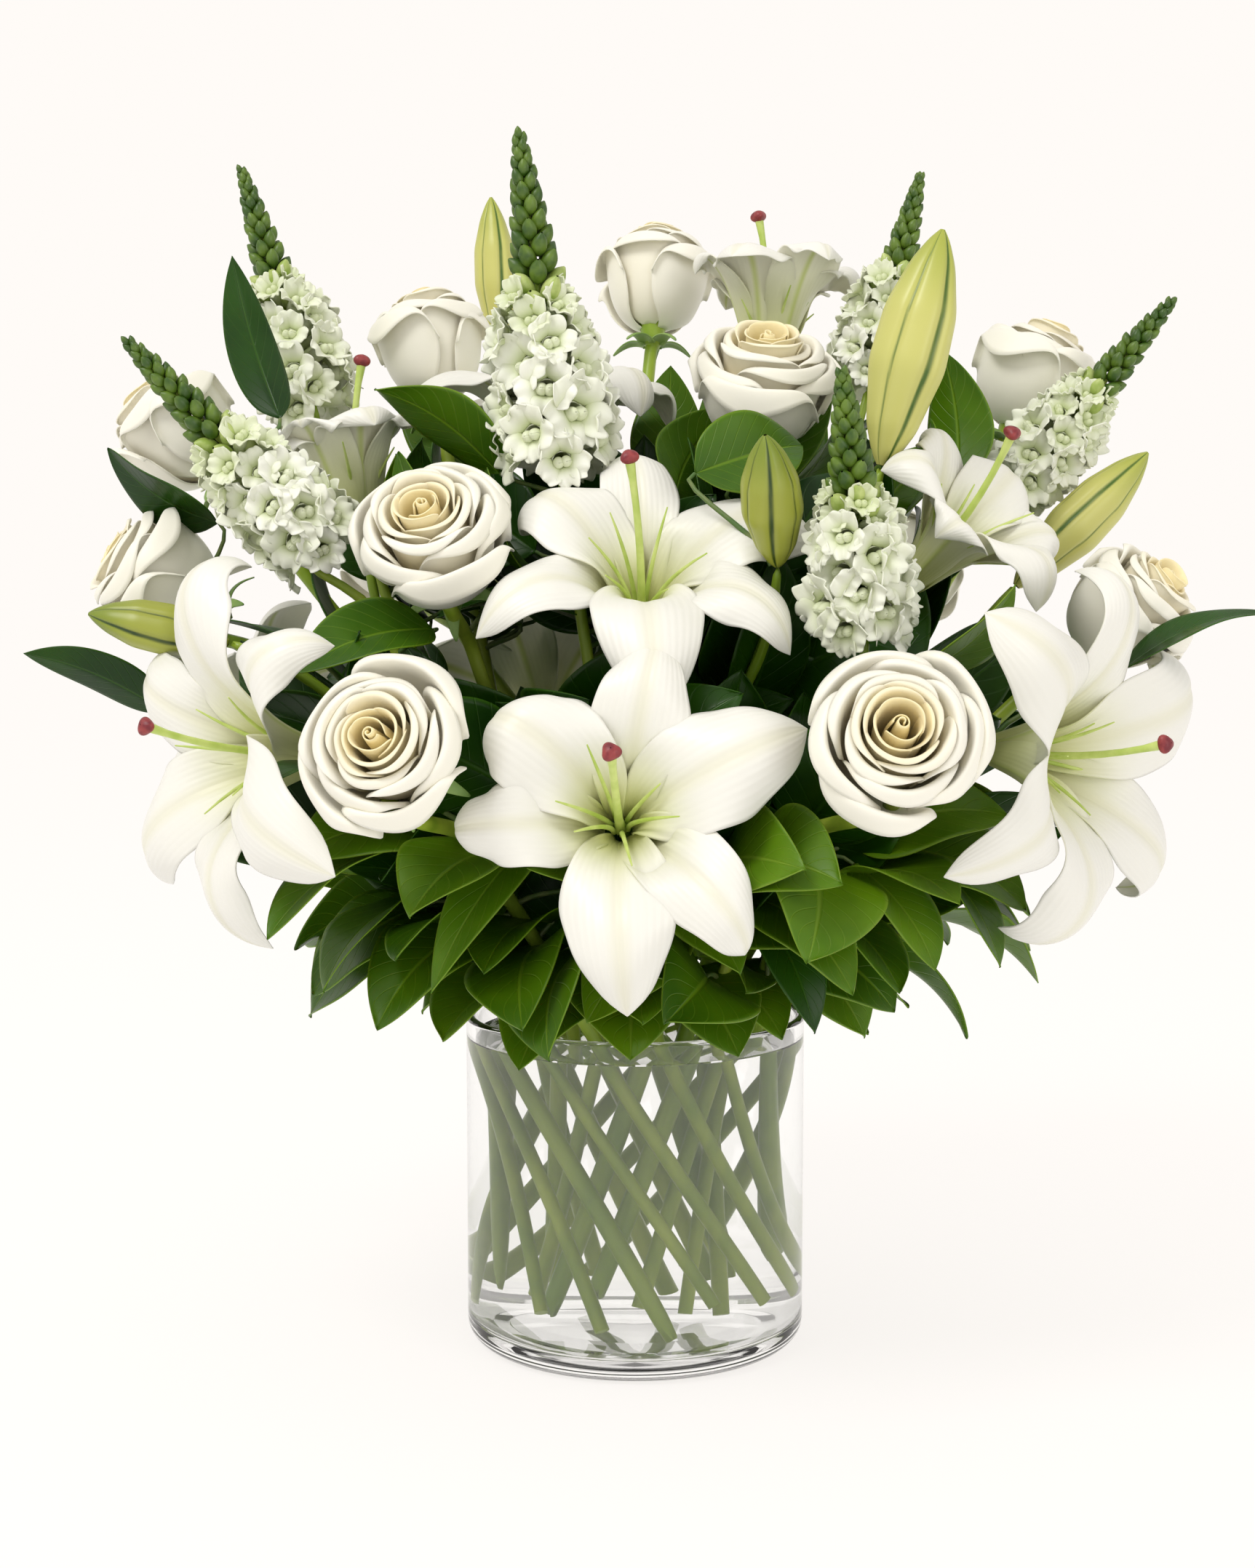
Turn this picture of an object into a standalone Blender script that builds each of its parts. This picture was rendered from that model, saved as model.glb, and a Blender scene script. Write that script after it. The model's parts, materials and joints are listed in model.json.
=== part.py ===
"""Lilies, roses and snapdragons standing in water in a clear glass cylinder vase.

Run with: blender --background --python part.py, or from Blender's text editor.

Frame: metres, +Z up, the origin at the centre of the vase's foot, and -Y towards the front of the
arrangement. A bearing is an angle round the vase in degrees: 0 is the front (-Y) and 90 is the right (+X).
A lift is an angle above the horizon. Each flower's place is in millimetres from the centre of the
vase's mouth: to the right, to the back and up.
"""

import math

import bmesh
import bpy
from mathutils import Matrix, Vector

MM = 0.001

# The vase is a blown cylinder with a heavy floor, and the water stands a little below its rim.
VASE_RADIUS = 75 * MM
VASE_HEIGHT = 146 * MM
GLASS_WALL = 4 * MM
GLASS_FLOOR = 9 * MM
FOOT_ROUNDING = 9 * MM
CORNER_ROUNDING = 5 * MM
RIM_TO_WATER = 11 * MM
CLEARANCE = 0.5 * MM

# The places in the tables are for a vase of this radius. A wider vase moves them out by as much.
ARRANGED_FOR_RADIUS = 75 * MM

# The stems are set as a florist's spiral: straight lines on two nested rings that turn opposite ways,
# so that they cross without touching. Each ring is wide at the mouth and floor and narrow between.
OUTER_RING_TO_GLASS = 11 * MM
OUTER_WAIST_TURN = 42
INNER_RING_RADIUS = 34 * MM
INNER_WAIST_TURN = -40
LOWEST_FOOT = 5 * MM
FOOT_STEP = 4 * MM
FOOT_STEPS = 4

ROSE_STEM_RADIUS = 3.1 * MM
LILY_STEM_RADIUS = 4.2 * MM
LILY_BRANCH_RADIUS = 2.4 * MM
SNAPDRAGON_STEM_RADIUS = 2.8 * MM

ROSE_HEIGHT = 54 * MM
LILY_SPREAD = 80 * MM
LILY_DEPTH = 46 * MM
LILY_THROAT_RADIUS = 5 * MM
PETAL_THICKNESS = 1.6 * MM
LEAF_THICKNESS = 1.0 * MM
LEAF_FOLD = 0.22
LEAF_ARCH = 0.10

# name: (place in mm, (bearing, lift) that it faces, radius in mm, ring)
ROSES = {
    "rose_front_left": ((-92, -156, 127), (-14, 20), 34, "outer"),
    "rose_front_right": ((96, -154, 130), (2, 22), 36, "outer"),
    "rose_middle_left": ((-82, -72, 206), (-12, 40), 35, "inner"),
    "rose_top": ((56, 12, 276), (10, 62), 36, "inner"),
    "rose_right": ((212, -18, 178), (62, 38), 31, "outer"),
    "rose_left": ((-212, 14, 192), (-75, 30), 33, "outer"),
    "rose_upper_left": ((-212, 64, 258), (-100, 45), 31, "outer"),
    "rose_upper_middle": ((-96, 78, 300), (-140, 75), 29, "inner"),
    "rose_upper_right": ((188, 86, 286), (100, 66), 32, "outer"),
    "rose_top_back": ((10, 142, 338), (172, 74), 31, "inner"),
    "rose_back": ((40, 164, 190), (168, 22), 33, "inner"),
    "rose_back_left": ((-118, 152, 206), (-150, 32), 34, "outer"),
    "rose_back_right": ((132, 150, 196), (140, 30), 34, "outer"),
}

# name: (place of the foot of the bloom in mm, (bearing, lift) that it faces, roll, size, opening, stem)
# An opening of 1 is a flat star, and a smaller one is a bloom that is still a trumpet.
LILIES = {
    "lily_front": ((-6, -110, 92), (-2, 17), 16, 1.0, 1.0, "lily_stem_front"),
    "lily_middle": ((2, -54, 168), (2, 50), 25, 0.96, 1.0, "lily_stem_front"),
    "lily_left": ((-130, -58, 118), (-54, 4), 40, 1.0, 1.0, "lily_stem_left"),
    "lily_right": ((146, -56, 120), (50, -3), 20, 1.0, 1.0, "lily_stem_right"),
    "lily_upper_right": ((116, -20, 188), (52, 42), 25, 0.8, 0.6, "lily_stem_upper_right"),
    "lily_upper_left": ((-120, 16, 204), (-90, 80), 30, 0.78, 0.3, "lily_stem_left"),
    "lily_top": ((-34, 60, 232), (-160, 84), 0, 0.95, 0.9, "lily_stem_top"),
    "lily_top_right": ((62, 92, 280), (150, 80), 30, 0.9, 0.45, "lily_stem_top"),
    "lily_back": ((-44, 118, 120), (-176, 16), 12, 1.0, 1.0, "lily_stem_back"),
    "lily_back_left": ((-146, 92, 112), (-122, 14), 30, 0.95, 0.9, "lily_stem_back"),
}

# name: (place of the foot of the bud in mm, (bearing, lift) of its tip, length and width in mm, stem)
BUDS = {
    "bud_right_tall": ((103, -42, 238), (88, 76), 100, 35, "lily_stem_upper_right"),
    "bud_right": ((170, 20, 188), (96, 45), 84, 27, "lily_stem_right"),
    "bud_front": ((57, -84, 196), (-14, 60), 58, 26, "lily_stem_front"),
    "bud_left": ((-172, -36, 164), (-88, 12), 60, 24, "lily_stem_left"),
    "bud_top": ((-64, 112, 302), (-100, 86), 72, 22, "lily_stem_top"),
}

# lily stem: (place where it forks in mm, ring)
LILY_STEMS = {
    "lily_stem_front": ((10, -40, 84), "inner"),
    "lily_stem_left": ((-78, -20, 80), "outer"),
    "lily_stem_right": ((84, -26, 80), "outer"),
    "lily_stem_upper_right": ((66, -8, 120), "inner"),
    "lily_stem_top": ((6, 46, 140), "inner"),
    "lily_stem_back": ((-62, 60, 56), "outer"),
}

# name: (foot of the flower spike in mm, (bearing, lift), length, radius of its open florets in mm, ring)
SNAPDRAGONS = {
    "snapdragon_left": ((-130, -38, 202), (-84, 47), 122, 22, "outer"),
    "snapdragon_upper_left": ((-146, 52, 266), (-120, 70), 124, 21, "inner"),
    "snapdragon_top": ((-32, -30, 238), (-80, 83), 142, 25, "inner"),
    "snapdragon_front_right": ((92, -92, 170), (-30, 76), 106, 22, "outer"),
    "snapdragon_upper_right": ((108, 60, 280), (120, 74), 104, 19, "inner"),
    "snapdragon_right": ((168, 36, 228), (92, 50), 118, 20, "outer"),
}

# name: (foot and tip of the blade in mm, width in mm, lean of the face in degrees)
LEAVES = {
    "leaf_far_left": ((-206, -8, 134), (-262, -26, 160), 22, 30),
    "leaf_far_right": ((202, -56, 153), (262, -60, 179), 22, 0),
    "leaf_left": ((-184, 10, 216), (-234, 10, 246), 28, 40),
    "leaf_spear": ((-153, -12, 260), (-174, 0, 330), 24, 60),
    "leaf_upper_left": ((-58, -24, 236), (-108, -40, 272), 38, 30),
    "leaf_upper_middle": ((72, -34, 246), (24, -62, 234), 38, -50),
    "leaf_upper_right": ((142, 8, 234), (138, 16, 292), 32, 70),
    "leaf_right": ((109, -70, 150), (151, -102, 187), 36, 0),
    "leaf_middle_left": ((-84, -56, 170), (-138, -92, 156), 36, -35),
    "leaf_collar_left": ((-96, -76, 84), (-146, -110, 50), 38, 0),
    "leaf_collar_long": ((-28, -88, 98), (-82, -130, 33), 30, 0),
    "leaf_collar_front": ((18, -82, 54), (-22, -112, 18), 42, 0),
    "leaf_collar_round": ((12, -92, 68), (42, -130, 40), 38, 0),
    "leaf_collar_dark": ((48, -80, 60), (70, -112, 12), 30, 0),
    "leaf_collar_right": ((88, -88, 76), (118, -116, 38), 38, 0),
    "leaf_collar_far_right": ((118, -54, 78), (150, -82, 34), 36, 0),
    "leaf_back_right": ((100, 70, 84), (150, 112, 44), 40, 0),
    "leaf_back_left": ((-88, 80, 80), (-128, 124, 38), 40, 0),
}

SPIRAL_RINGS = {
    "outer": (VASE_RADIUS - GLASS_WALL - OUTER_RING_TO_GLASS, OUTER_WAIST_TURN),
    "inner": (INNER_RING_RADIUS, INNER_WAIST_TURN),
}

MOUTH = Vector((0, 0, VASE_HEIGHT))
FLOOR_Z = GLASS_FLOOR + LOWEST_FOOT


def start_scene():
    for old in list(bpy.data.objects):
        bpy.data.objects.remove(old)
    collections = []
    for name in ("lilies_in_a_vase", "cutters"):
        collection = bpy.data.collections.new(name)
        bpy.context.scene.collection.children.link(collection)
        collections.append(collection)
    return collections


ARRANGEMENT, CUTTERS = start_scene()


def material(name, colour, roughness, transmission=0.0, ior=1.45):
    made = bpy.data.materials.new(name)
    made.use_nodes = True
    shader = made.node_tree.nodes["Principled BSDF"]
    shader.inputs["Base Color"].default_value = (*colour, 1)
    shader.inputs["Roughness"].default_value = roughness
    shader.inputs["Metallic"].default_value = 0
    shader.inputs["Transmission Weight"].default_value = transmission
    shader.inputs["IOR"].default_value = ior
    made.diffuse_color = (*colour, 1)
    return made


GLASS = material("clear_glass", (0.95, 0.97, 0.96), 0.03, transmission=1.0, ior=1.5)
WATER = material("water", (0.97, 0.99, 0.98), 0.0, transmission=1.0, ior=1.33)
LILY_PETAL = material("lily_petal", (0.93, 0.93, 0.88), 0.5)
ROSE_PETAL = material("rose_petal", (0.92, 0.89, 0.74), 0.55)
BUD_GREEN = material("bud_green", (0.52, 0.60, 0.18), 0.45)
SPIKE_WHITE = material("snapdragon_petal", (0.86, 0.90, 0.74), 0.55)
LEAF_GREEN = material("leaf_green", (0.05, 0.20, 0.02), 0.35)
STEM_GREEN = material("stem_green", (0.16, 0.32, 0.05), 0.45)


def direction(bearing, lift):
    """Unit vector for a bearing round the vase and a lift above the horizon."""
    b, l = math.radians(bearing), math.radians(lift)
    return Vector((math.sin(b) * math.cos(l), -math.cos(b) * math.cos(l), math.sin(l)))


def from_mouth(place):
    """A place given in millimetres from the centre of the vase's mouth, moved out with the rim."""
    out = Vector((place[0], place[1], 0)) * MM
    share = min(1, out.length / ARRANGED_FOR_RADIUS)
    return MOUTH + Vector(place) * MM + out.normalized() * (VASE_RADIUS - ARRANGED_FOR_RADIUS) * share


def standing(origin, axis, roll=0.0):
    """Matrix whose +Z is the axis and whose +Y leans towards the sky, turned by roll degrees."""
    z = axis.normalized()
    x = Vector((0, 0, 1)).cross(z)
    x = x.normalized() if x.length > 1e-4 else Vector((1, 0, 0))
    frame = Matrix((x, z.cross(x), z)).transposed().to_4x4()
    return Matrix.Translation(origin) @ frame @ Matrix.Rotation(math.radians(roll), 4, "Z")


def bezier(a, b, c, d, steps):
    """Points along a cubic from a to d, without a itself."""
    points = []
    for i in range(1, steps + 1):
        t = i / steps
        s = 1 - t
        points.append(a * s**3 + b * 3 * s * s * t + c * 3 * s * t * t + d * t**3)
    return points


def link(obj, look, collection=None):
    (collection or ARRANGEMENT).objects.link(obj)
    obj.data.materials.clear()
    obj.data.materials.append(look)
    return obj


def tube(name, points, radii, look, level=2, collection=None):
    """A round stalk through the points, with its own radius at each of them."""
    curve = bpy.data.curves.new(name, "CURVE")
    curve.dimensions = "3D"
    curve.bevel_depth = 1.0
    curve.bevel_resolution = level
    curve.use_fill_caps = True
    spline = curve.splines.new("POLY")
    spline.points.add(len(points) - 1)
    for knot, place, radius in zip(spline.points, points, radii):
        knot.co = (*place, 1)
        knot.radius = radius
    return link(bpy.data.objects.new(name, curve), look, collection)


def as_mesh(curve_object, collection):
    """The curve's tube as a mesh with its caps welded, which a Boolean can use."""
    graph = bpy.context.evaluated_depsgraph_get()
    graph.update()
    mesh = bpy.data.meshes.new_from_object(curve_object.evaluated_get(graph))
    sheet = bmesh.new()
    sheet.from_mesh(mesh)
    bmesh.ops.remove_doubles(sheet, verts=sheet.verts, dist=0.01 * MM)
    bmesh.ops.recalc_face_normals(sheet, faces=sheet.faces)
    sheet.to_mesh(mesh)
    sheet.free()
    name, look = curve_object.name, curve_object.data.materials[0]
    place = curve_object.matrix_world.copy()
    bpy.data.objects.remove(curve_object)
    made = link(bpy.data.objects.new(name, mesh), look, collection)
    made.matrix_world = place
    return made


def hide_as_cutter(obj):
    obj.hide_render = True
    obj.display_type = "WIRE"


def turned(name, profile, look, steps=64):
    """A closed profile of (radius, height) turned about the vase's axis. It runs down its outer side."""
    mesh = bpy.data.meshes.new(name)
    points = [(r, 0, z) for r, z in profile]
    mesh.from_pydata(points, [(i, i + 1) for i in range(len(points) - 1)], [])
    obj = link(bpy.data.objects.new(name, mesh), look)
    screw = obj.modifiers.new("turn", "SCREW")
    screw.steps = screw.render_steps = steps
    screw.use_merge_vertices = True
    screw.merge_threshold = 0.01 * MM
    screw.use_smooth_shade = True
    return obj


def arc(centre, radius, start, end, steps):
    """Points of (radius, height) round an arc of the profile, angles in degrees from the outward side."""
    points = []
    for i in range(steps + 1):
        a = math.radians(start + (end - start) * i / steps)
        points.append((centre[0] + radius * math.cos(a), centre[1] + radius * math.sin(a)))
    return points


def make_vase():
    inside = VASE_RADIUS - GLASS_WALL
    lip = GLASS_WALL / 2
    profile = [(0, GLASS_FLOOR)]
    corner = (inside - CORNER_ROUNDING, GLASS_FLOOR + CORNER_ROUNDING)
    profile += arc(corner, CORNER_ROUNDING, -90, 0, 3)
    profile += arc((VASE_RADIUS - lip, VASE_HEIGHT - lip), lip, 180, 0, 4)
    profile += arc((VASE_RADIUS - FOOT_ROUNDING, FOOT_ROUNDING), FOOT_ROUNDING, 0, -90, 4)
    profile += [(0, 0)]
    turned("vase", profile, GLASS)


def ring_slots(ring):
    """Bearing at the vase's mouth for each stem of a ring: even slots, in the order of the flowers."""
    bearings = {}
    for table, ring_at in ((ROSES, 3), (SNAPDRAGONS, 4), (LILY_STEMS, 1)):
        for name, row in table.items():
            if row[ring_at] == ring:
                x, y, _ = row[0]
                bearings[name] = math.degrees(math.atan2(x, -y))
    order = sorted(bearings, key=bearings.get)
    step = 360 / len(order)
    offset = sum(bearings[name] - i * step for i, name in enumerate(order)) / len(order)
    return {name: offset + i * step for i, name in enumerate(order)}


SLOTS = {ring: ring_slots(ring) for ring in SPIRAL_RINGS}


def in_vase(name, ring):
    """(foot, neck) of a stem: the straight stretch from above the vase's floor to its mouth."""
    radius, waist_turn = SPIRAL_RINGS[ring]
    bearing = SLOTS[ring][name]
    neck = MOUTH + direction(bearing, 0) * radius
    floor = Vector((0, 0, FLOOR_Z)) + direction(bearing + 2 * waist_turn, 0) * radius
    rise = (list(SLOTS[ring]).index(name) * 3 % FOOT_STEPS) * FOOT_STEP
    foot = floor.lerp(neck, rise / (VASE_HEIGHT - FLOOR_Z))
    return foot, neck


def stem_route(name, ring, end, arrival, steps=6):
    """Points from a stem's cut foot, straight out of the vase and then in a bend to its flower."""
    foot, neck = in_vase(name, ring)
    up = (neck - foot).normalized()
    span = (end - neck).length
    bend = bezier(neck, neck + up * span * 0.3, end - arrival * span * 0.35, end, steps)
    return [foot, foot.lerp(neck, 0.5), neck, *bend]


# Heights up a rose's head and radii there, as shares of its height and radius.
ROSE_OUTLINE = ((0.05, 0.24), (0.22, 0.62), (0.45, 0.92), (0.68, 1.0), (0.9, 0.88), (1.0, 0.6))


def make_rose(name, place, faces, radius, ring):
    axis = direction(*faces)
    foot_of_head = from_mouth(place) - axis * ROSE_HEIGHT / 2
    points = stem_route(name, ring, foot_of_head, axis)
    radii = [ROSE_STEM_RADIUS] * len(points)
    for height, share in ROSE_OUTLINE:
        points.append(foot_of_head + axis * ROSE_HEIGHT * height)
        radii.append(radius * MM * share)
    return tube(name, points, radii, ROSE_PETAL)


# Heights up a flower spike and radii there, as shares of its length and its radius.
SPIKE_OUTLINE = ((0.03, 0.5), (0.1, 0.92), (0.28, 1.0), (0.44, 0.82), (0.54, 0.5), (0.8, 0.38), (1.0, 0.16))


def make_snapdragon(name, place, points_to, length, radius, ring):
    axis = direction(*points_to)
    foot_of_spike = from_mouth(place)
    points = stem_route(name, ring, foot_of_spike, axis)
    radii = [SNAPDRAGON_STEM_RADIUS] * len(points)
    for height, share in SPIKE_OUTLINE:
        points.append(foot_of_spike + axis * length * MM * height)
        radii.append(radius * MM * share)
    return tube(name, points, radii, SPIKE_WHITE)


BUD_OUTLINE = ((0.0, 0.24), (0.16, 0.66), (0.42, 1.0), (0.66, 0.9), (0.86, 0.55), (1.0, 0.16))


def make_bud(name, place, points_to, length, width, stem):
    axis = direction(*points_to)
    foot = from_mouth(place) + axis * CLEARANCE
    points = [foot + axis * length * MM * height for height, _ in BUD_OUTLINE]
    return tube(name, points, [width / 2 * MM * share for _, share in BUD_OUTLINE], BUD_GREEN)


SPOKES_PER_PETAL = 4
RINGS_OF_BLOOM = 5


def lily_point(share, spoke, spread, depth, opening):
    """A point of the bloom, in its own frame: share runs from throat to petal tip, spoke goes round."""
    off_midrib = abs((spoke + SPOKES_PER_PETAL / 2) % SPOKES_PER_PETAL - SPOKES_PER_PETAL / 2)
    lobe = 1 - 0.5 * (off_midrib / (SPOKES_PER_PETAL / 2)) ** 1.3
    along = share * lobe
    reach = LILY_THROAT_RADIUS + (spread - LILY_THROAT_RADIUS) * along * (0.35 + 0.65 * opening * along)
    rise = depth * (2.5 - opening) / 1.5 * math.sin(min(along * 2.1, math.pi * (0.5 + 0.3 * opening)))
    angle = 2 * math.pi * spoke / (6 * SPOKES_PER_PETAL)
    return Vector((reach * math.cos(angle), reach * math.sin(angle), rise))


def make_lily(name, place, faces, roll, size, opening, stem):
    """A six-petalled bloom as one shell: rings of points from the throat out to the petals' tips."""
    axis = direction(*faces)
    spokes = 6 * SPOKES_PER_PETAL
    shell = bmesh.new()
    bmesh.ops.create_grid(shell, x_segments=spokes, y_segments=RINGS_OF_BLOOM, size=0.5)
    for vertex in shell.verts:
        spoke = round((vertex.co.x + 0.5) * spokes) % spokes
        share = vertex.co.y + 0.5
        vertex.co = lily_point(share, spoke, LILY_SPREAD * size, LILY_DEPTH * size, opening)
    bmesh.ops.remove_doubles(shell, verts=shell.verts, dist=0.01 * MM)
    throat = [edge for edge in shell.edges if edge.is_boundary and all(v.co.z < 0.1 * MM for v in edge.verts)]
    bmesh.ops.contextual_create(shell, geom=throat)
    bmesh.ops.recalc_face_normals(shell, faces=shell.faces)
    mesh = bpy.data.meshes.new(name)
    shell.to_mesh(mesh)
    shell.free()
    mesh.shade_smooth()
    obj = link(bpy.data.objects.new(name, mesh), LILY_PETAL)
    obj.matrix_world = standing(from_mouth(place) + axis * (CLEARANCE + PETAL_THICKNESS), axis, roll)
    shell = obj.modifiers.new("petal thickness", "SOLIDIFY")
    shell.thickness = PETAL_THICKNESS
    shell.offset = 0
    return obj


def make_lily_stem(name, fork_place, ring):
    """A trunk from the vase to its fork, with a branch to the foot of each of its blooms and buds."""
    fork = from_mouth(fork_place)
    foot, neck = in_vase(name, ring)
    up = (neck - foot).normalized()
    ends = [(row[0], row[1]) for row in (*LILIES.values(), *BUDS.values()) if row[-1] == name]
    heading = sum((from_mouth(place) - fork for place, _ in ends), Vector()).normalized()
    span = (fork - neck).length
    bend = bezier(neck, neck + up * span * 0.35, fork - heading * span * 0.3, fork, 4)
    radius = LILY_STEM_RADIUS
    trunk_points = [foot, foot.lerp(neck, 0.5), neck, *bend, fork + heading * radius]
    trunk = tube(name, trunk_points, [radius] * 7 + [radius * 0.6], STEM_GREEN)
    trunk = as_mesh(trunk, ARRANGEMENT)
    for i, (place, faces) in enumerate(ends):
        end, axis = from_mouth(place), direction(*faces)
        span = (end - fork).length
        start = fork - heading * radius * (0.5 + 0.45 * i)
        leaving = (heading + (end - fork).normalized()).normalized()
        route = bezier(start, fork + leaving * span * 0.3, end - axis * span * 0.4, end, 5)
        thickness = LILY_BRANCH_RADIUS * (1 + 0.06 * i)
        arm = tube(f"{name}_arm_{i}", [start, *route], [thickness] * 6, STEM_GREEN, level=1)
        arm = as_mesh(arm, CUTTERS)
        hide_as_cutter(arm)
        join = trunk.modifiers.new(f"arm {i}", "BOOLEAN")
        join.operation = "UNION"
        join.object = arm
    trunk.data.shade_smooth()
    return trunk


def make_leaf(name, foot, tip, width, lean):
    """A leathery blade, folded a little along its midrib and arched from foot to tip."""
    start, end = from_mouth(foot), from_mouth(tip)
    along = end - start
    length = along.length
    mesh = bpy.data.meshes.new(name)
    blade = bmesh.new()
    bmesh.ops.create_grid(blade, x_segments=2, y_segments=6, size=0.5)
    for vertex in blade.verts:
        across, share = vertex.co.x * 2, vertex.co.y + 0.5
        half = width / 2 * MM * max(math.sin(math.pi * share**0.8) ** 0.8, 0.06)
        arch = LEAF_ARCH * length * math.sin(math.pi * share)
        vertex.co = Vector((across * half, share * length, arch + abs(across) * half * LEAF_FOLD))
    blade.to_mesh(mesh)
    blade.free()
    mesh.shade_smooth()
    obj = link(bpy.data.objects.new(name, mesh), LEAF_GREEN)
    y = along.normalized()
    outward = (start - MOUTH) + Vector((0, 0, 0.08))
    z = (outward - y * outward.dot(y)).normalized()
    frame = Matrix((y.cross(z), y, z)).transposed().to_4x4()
    obj.matrix_world = Matrix.Translation(start) @ frame @ Matrix.Rotation(math.radians(lean), 4, "Y")
    skin = obj.modifiers.new("leaf thickness", "SOLIDIFY")
    skin.thickness = LEAF_THICKNESS
    skin.offset = 0
    return obj


def make_water():
    """The water fills the vase round the stems, with a thin gap to the glass and to each stem."""
    inside = VASE_RADIUS - GLASS_WALL - CLEARANCE
    floor = GLASS_FLOOR + CLEARANCE
    level = VASE_HEIGHT - RIM_TO_WATER
    corner = (inside - CORNER_ROUNDING, floor + CORNER_ROUNDING)
    profile = [(0, level), (inside, level), *reversed(arc(corner, CORNER_ROUNDING, -90, 0, 3)), (0, floor)]
    water = turned("water", profile, WATER)
    rings = {name: ring for ring, slots in SLOTS.items() for name in slots}
    for name, ring in rings.items():
        foot, neck = in_vase(name, ring)
        up = (neck - foot).normalized()
        thickness = ROSE_STEM_RADIUS
        if name in LILY_STEMS:
            thickness = LILY_STEM_RADIUS
        if name in SNAPDRAGONS:
            thickness = SNAPDRAGON_STEM_RADIUS
        hole = thickness * 1.08 + CLEARANCE
        ends = [foot - up * CLEARANCE, foot.lerp(neck, 0.5), neck]
        bore = as_mesh(tube(f"bore_{name}", ends, [hole] * 3, WATER, collection=CUTTERS), CUTTERS)
        hide_as_cutter(bore)
    cut = water.modifiers.new("stems", "BOOLEAN")
    cut.operation = "DIFFERENCE"
    cut.operand_type = "COLLECTION"
    cut.collection = CUTTERS
    return water


make_vase()
make_water()
for name, row in ROSES.items():
    make_rose(name, *row)
for name, row in SNAPDRAGONS.items():
    make_snapdragon(name, *row)
for name, row in LILIES.items():
    make_lily(name, *row)
for name, row in BUDS.items():
    make_bud(name, *row)
for name, row in LILY_STEMS.items():
    make_lily_stem(name, *row)
for name, row in LEAVES.items():
    make_leaf(name, *row)
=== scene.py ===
import json
import math

import bpy
import numpy as np
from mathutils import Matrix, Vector

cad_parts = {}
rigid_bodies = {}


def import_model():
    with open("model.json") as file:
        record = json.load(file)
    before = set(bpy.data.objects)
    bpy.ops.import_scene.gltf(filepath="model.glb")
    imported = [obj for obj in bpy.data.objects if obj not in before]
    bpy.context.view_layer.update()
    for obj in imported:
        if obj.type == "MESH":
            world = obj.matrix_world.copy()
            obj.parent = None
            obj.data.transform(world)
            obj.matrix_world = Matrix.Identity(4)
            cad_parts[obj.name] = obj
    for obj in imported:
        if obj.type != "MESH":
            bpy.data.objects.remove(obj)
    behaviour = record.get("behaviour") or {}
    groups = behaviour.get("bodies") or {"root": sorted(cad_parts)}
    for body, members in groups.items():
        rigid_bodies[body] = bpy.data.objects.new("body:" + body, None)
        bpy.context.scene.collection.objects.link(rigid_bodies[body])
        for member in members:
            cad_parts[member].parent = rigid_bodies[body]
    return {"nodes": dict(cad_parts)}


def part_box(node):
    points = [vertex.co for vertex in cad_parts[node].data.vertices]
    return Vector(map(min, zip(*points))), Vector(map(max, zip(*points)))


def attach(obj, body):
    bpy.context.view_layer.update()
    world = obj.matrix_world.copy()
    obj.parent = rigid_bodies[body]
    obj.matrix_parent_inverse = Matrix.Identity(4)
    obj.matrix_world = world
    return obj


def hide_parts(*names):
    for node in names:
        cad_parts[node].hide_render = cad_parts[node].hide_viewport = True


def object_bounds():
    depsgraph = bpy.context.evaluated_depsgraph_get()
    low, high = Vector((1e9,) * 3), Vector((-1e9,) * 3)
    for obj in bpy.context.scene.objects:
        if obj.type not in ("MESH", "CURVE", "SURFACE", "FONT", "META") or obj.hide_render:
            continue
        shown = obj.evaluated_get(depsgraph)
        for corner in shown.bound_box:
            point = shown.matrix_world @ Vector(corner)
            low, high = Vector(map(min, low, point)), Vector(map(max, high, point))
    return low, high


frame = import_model()
cad_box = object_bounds()


# The vase is one blown cylinder of clear soda glass with a heavy floor. Its foot has a soft rounded
# corner and its rim is fire-polished round. Everything else stands in it, held by its own weight.
vase_low, vase_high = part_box("vase")
vase_radius = (vase_high.x - vase_low.x) / 2
vase_height = vase_high.z
glass_wall = 0.004
glass_floor = 0.009
mouth = np.array([0, 0, vase_height])


def principled(name, colour, roughness, **sockets):
    """A material with one Principled BSDF, and its node tree, links and shader."""
    made = bpy.data.materials.new(name)
    made.use_nodes = True
    shader = made.node_tree.nodes["Principled BSDF"]
    shader.inputs["Base Color"].default_value = (*colour, 1)
    shader.inputs["Roughness"].default_value = roughness
    for socket, value in sockets.items():
        shader.inputs[socket.replace("_", " ")].default_value = value
    return made, made.node_tree, shader


def stood(name, data):
    """A new object in the scene."""
    made = bpy.data.objects.new(name, data)
    bpy.context.scene.collection.objects.link(made)
    return made


def quarter(centre, radius, start, end, steps):
    """Points of (radius, height) round an arc of a profile."""
    angles = np.radians(np.linspace(start, end, steps + 1))
    return [(centre[0] + radius * math.cos(a), centre[1] + radius * math.sin(a)) for a in angles]


def braced(profile, near=0.0004):
    """The profile with a point close to each end of its long runs, so that they shade straight."""
    found = [profile[0]]
    for (r0, z0), (r1, z1) in zip(profile, profile[1:]):
        run = math.hypot(r1 - r0, z1 - z0)
        if run > 5 * near:
            for share in (near / run, 1 - near / run):
                found.append((r0 + (r1 - r0) * share, z0 + (z1 - z0) * share))
        found.append((r1, z1))
    return found


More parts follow.
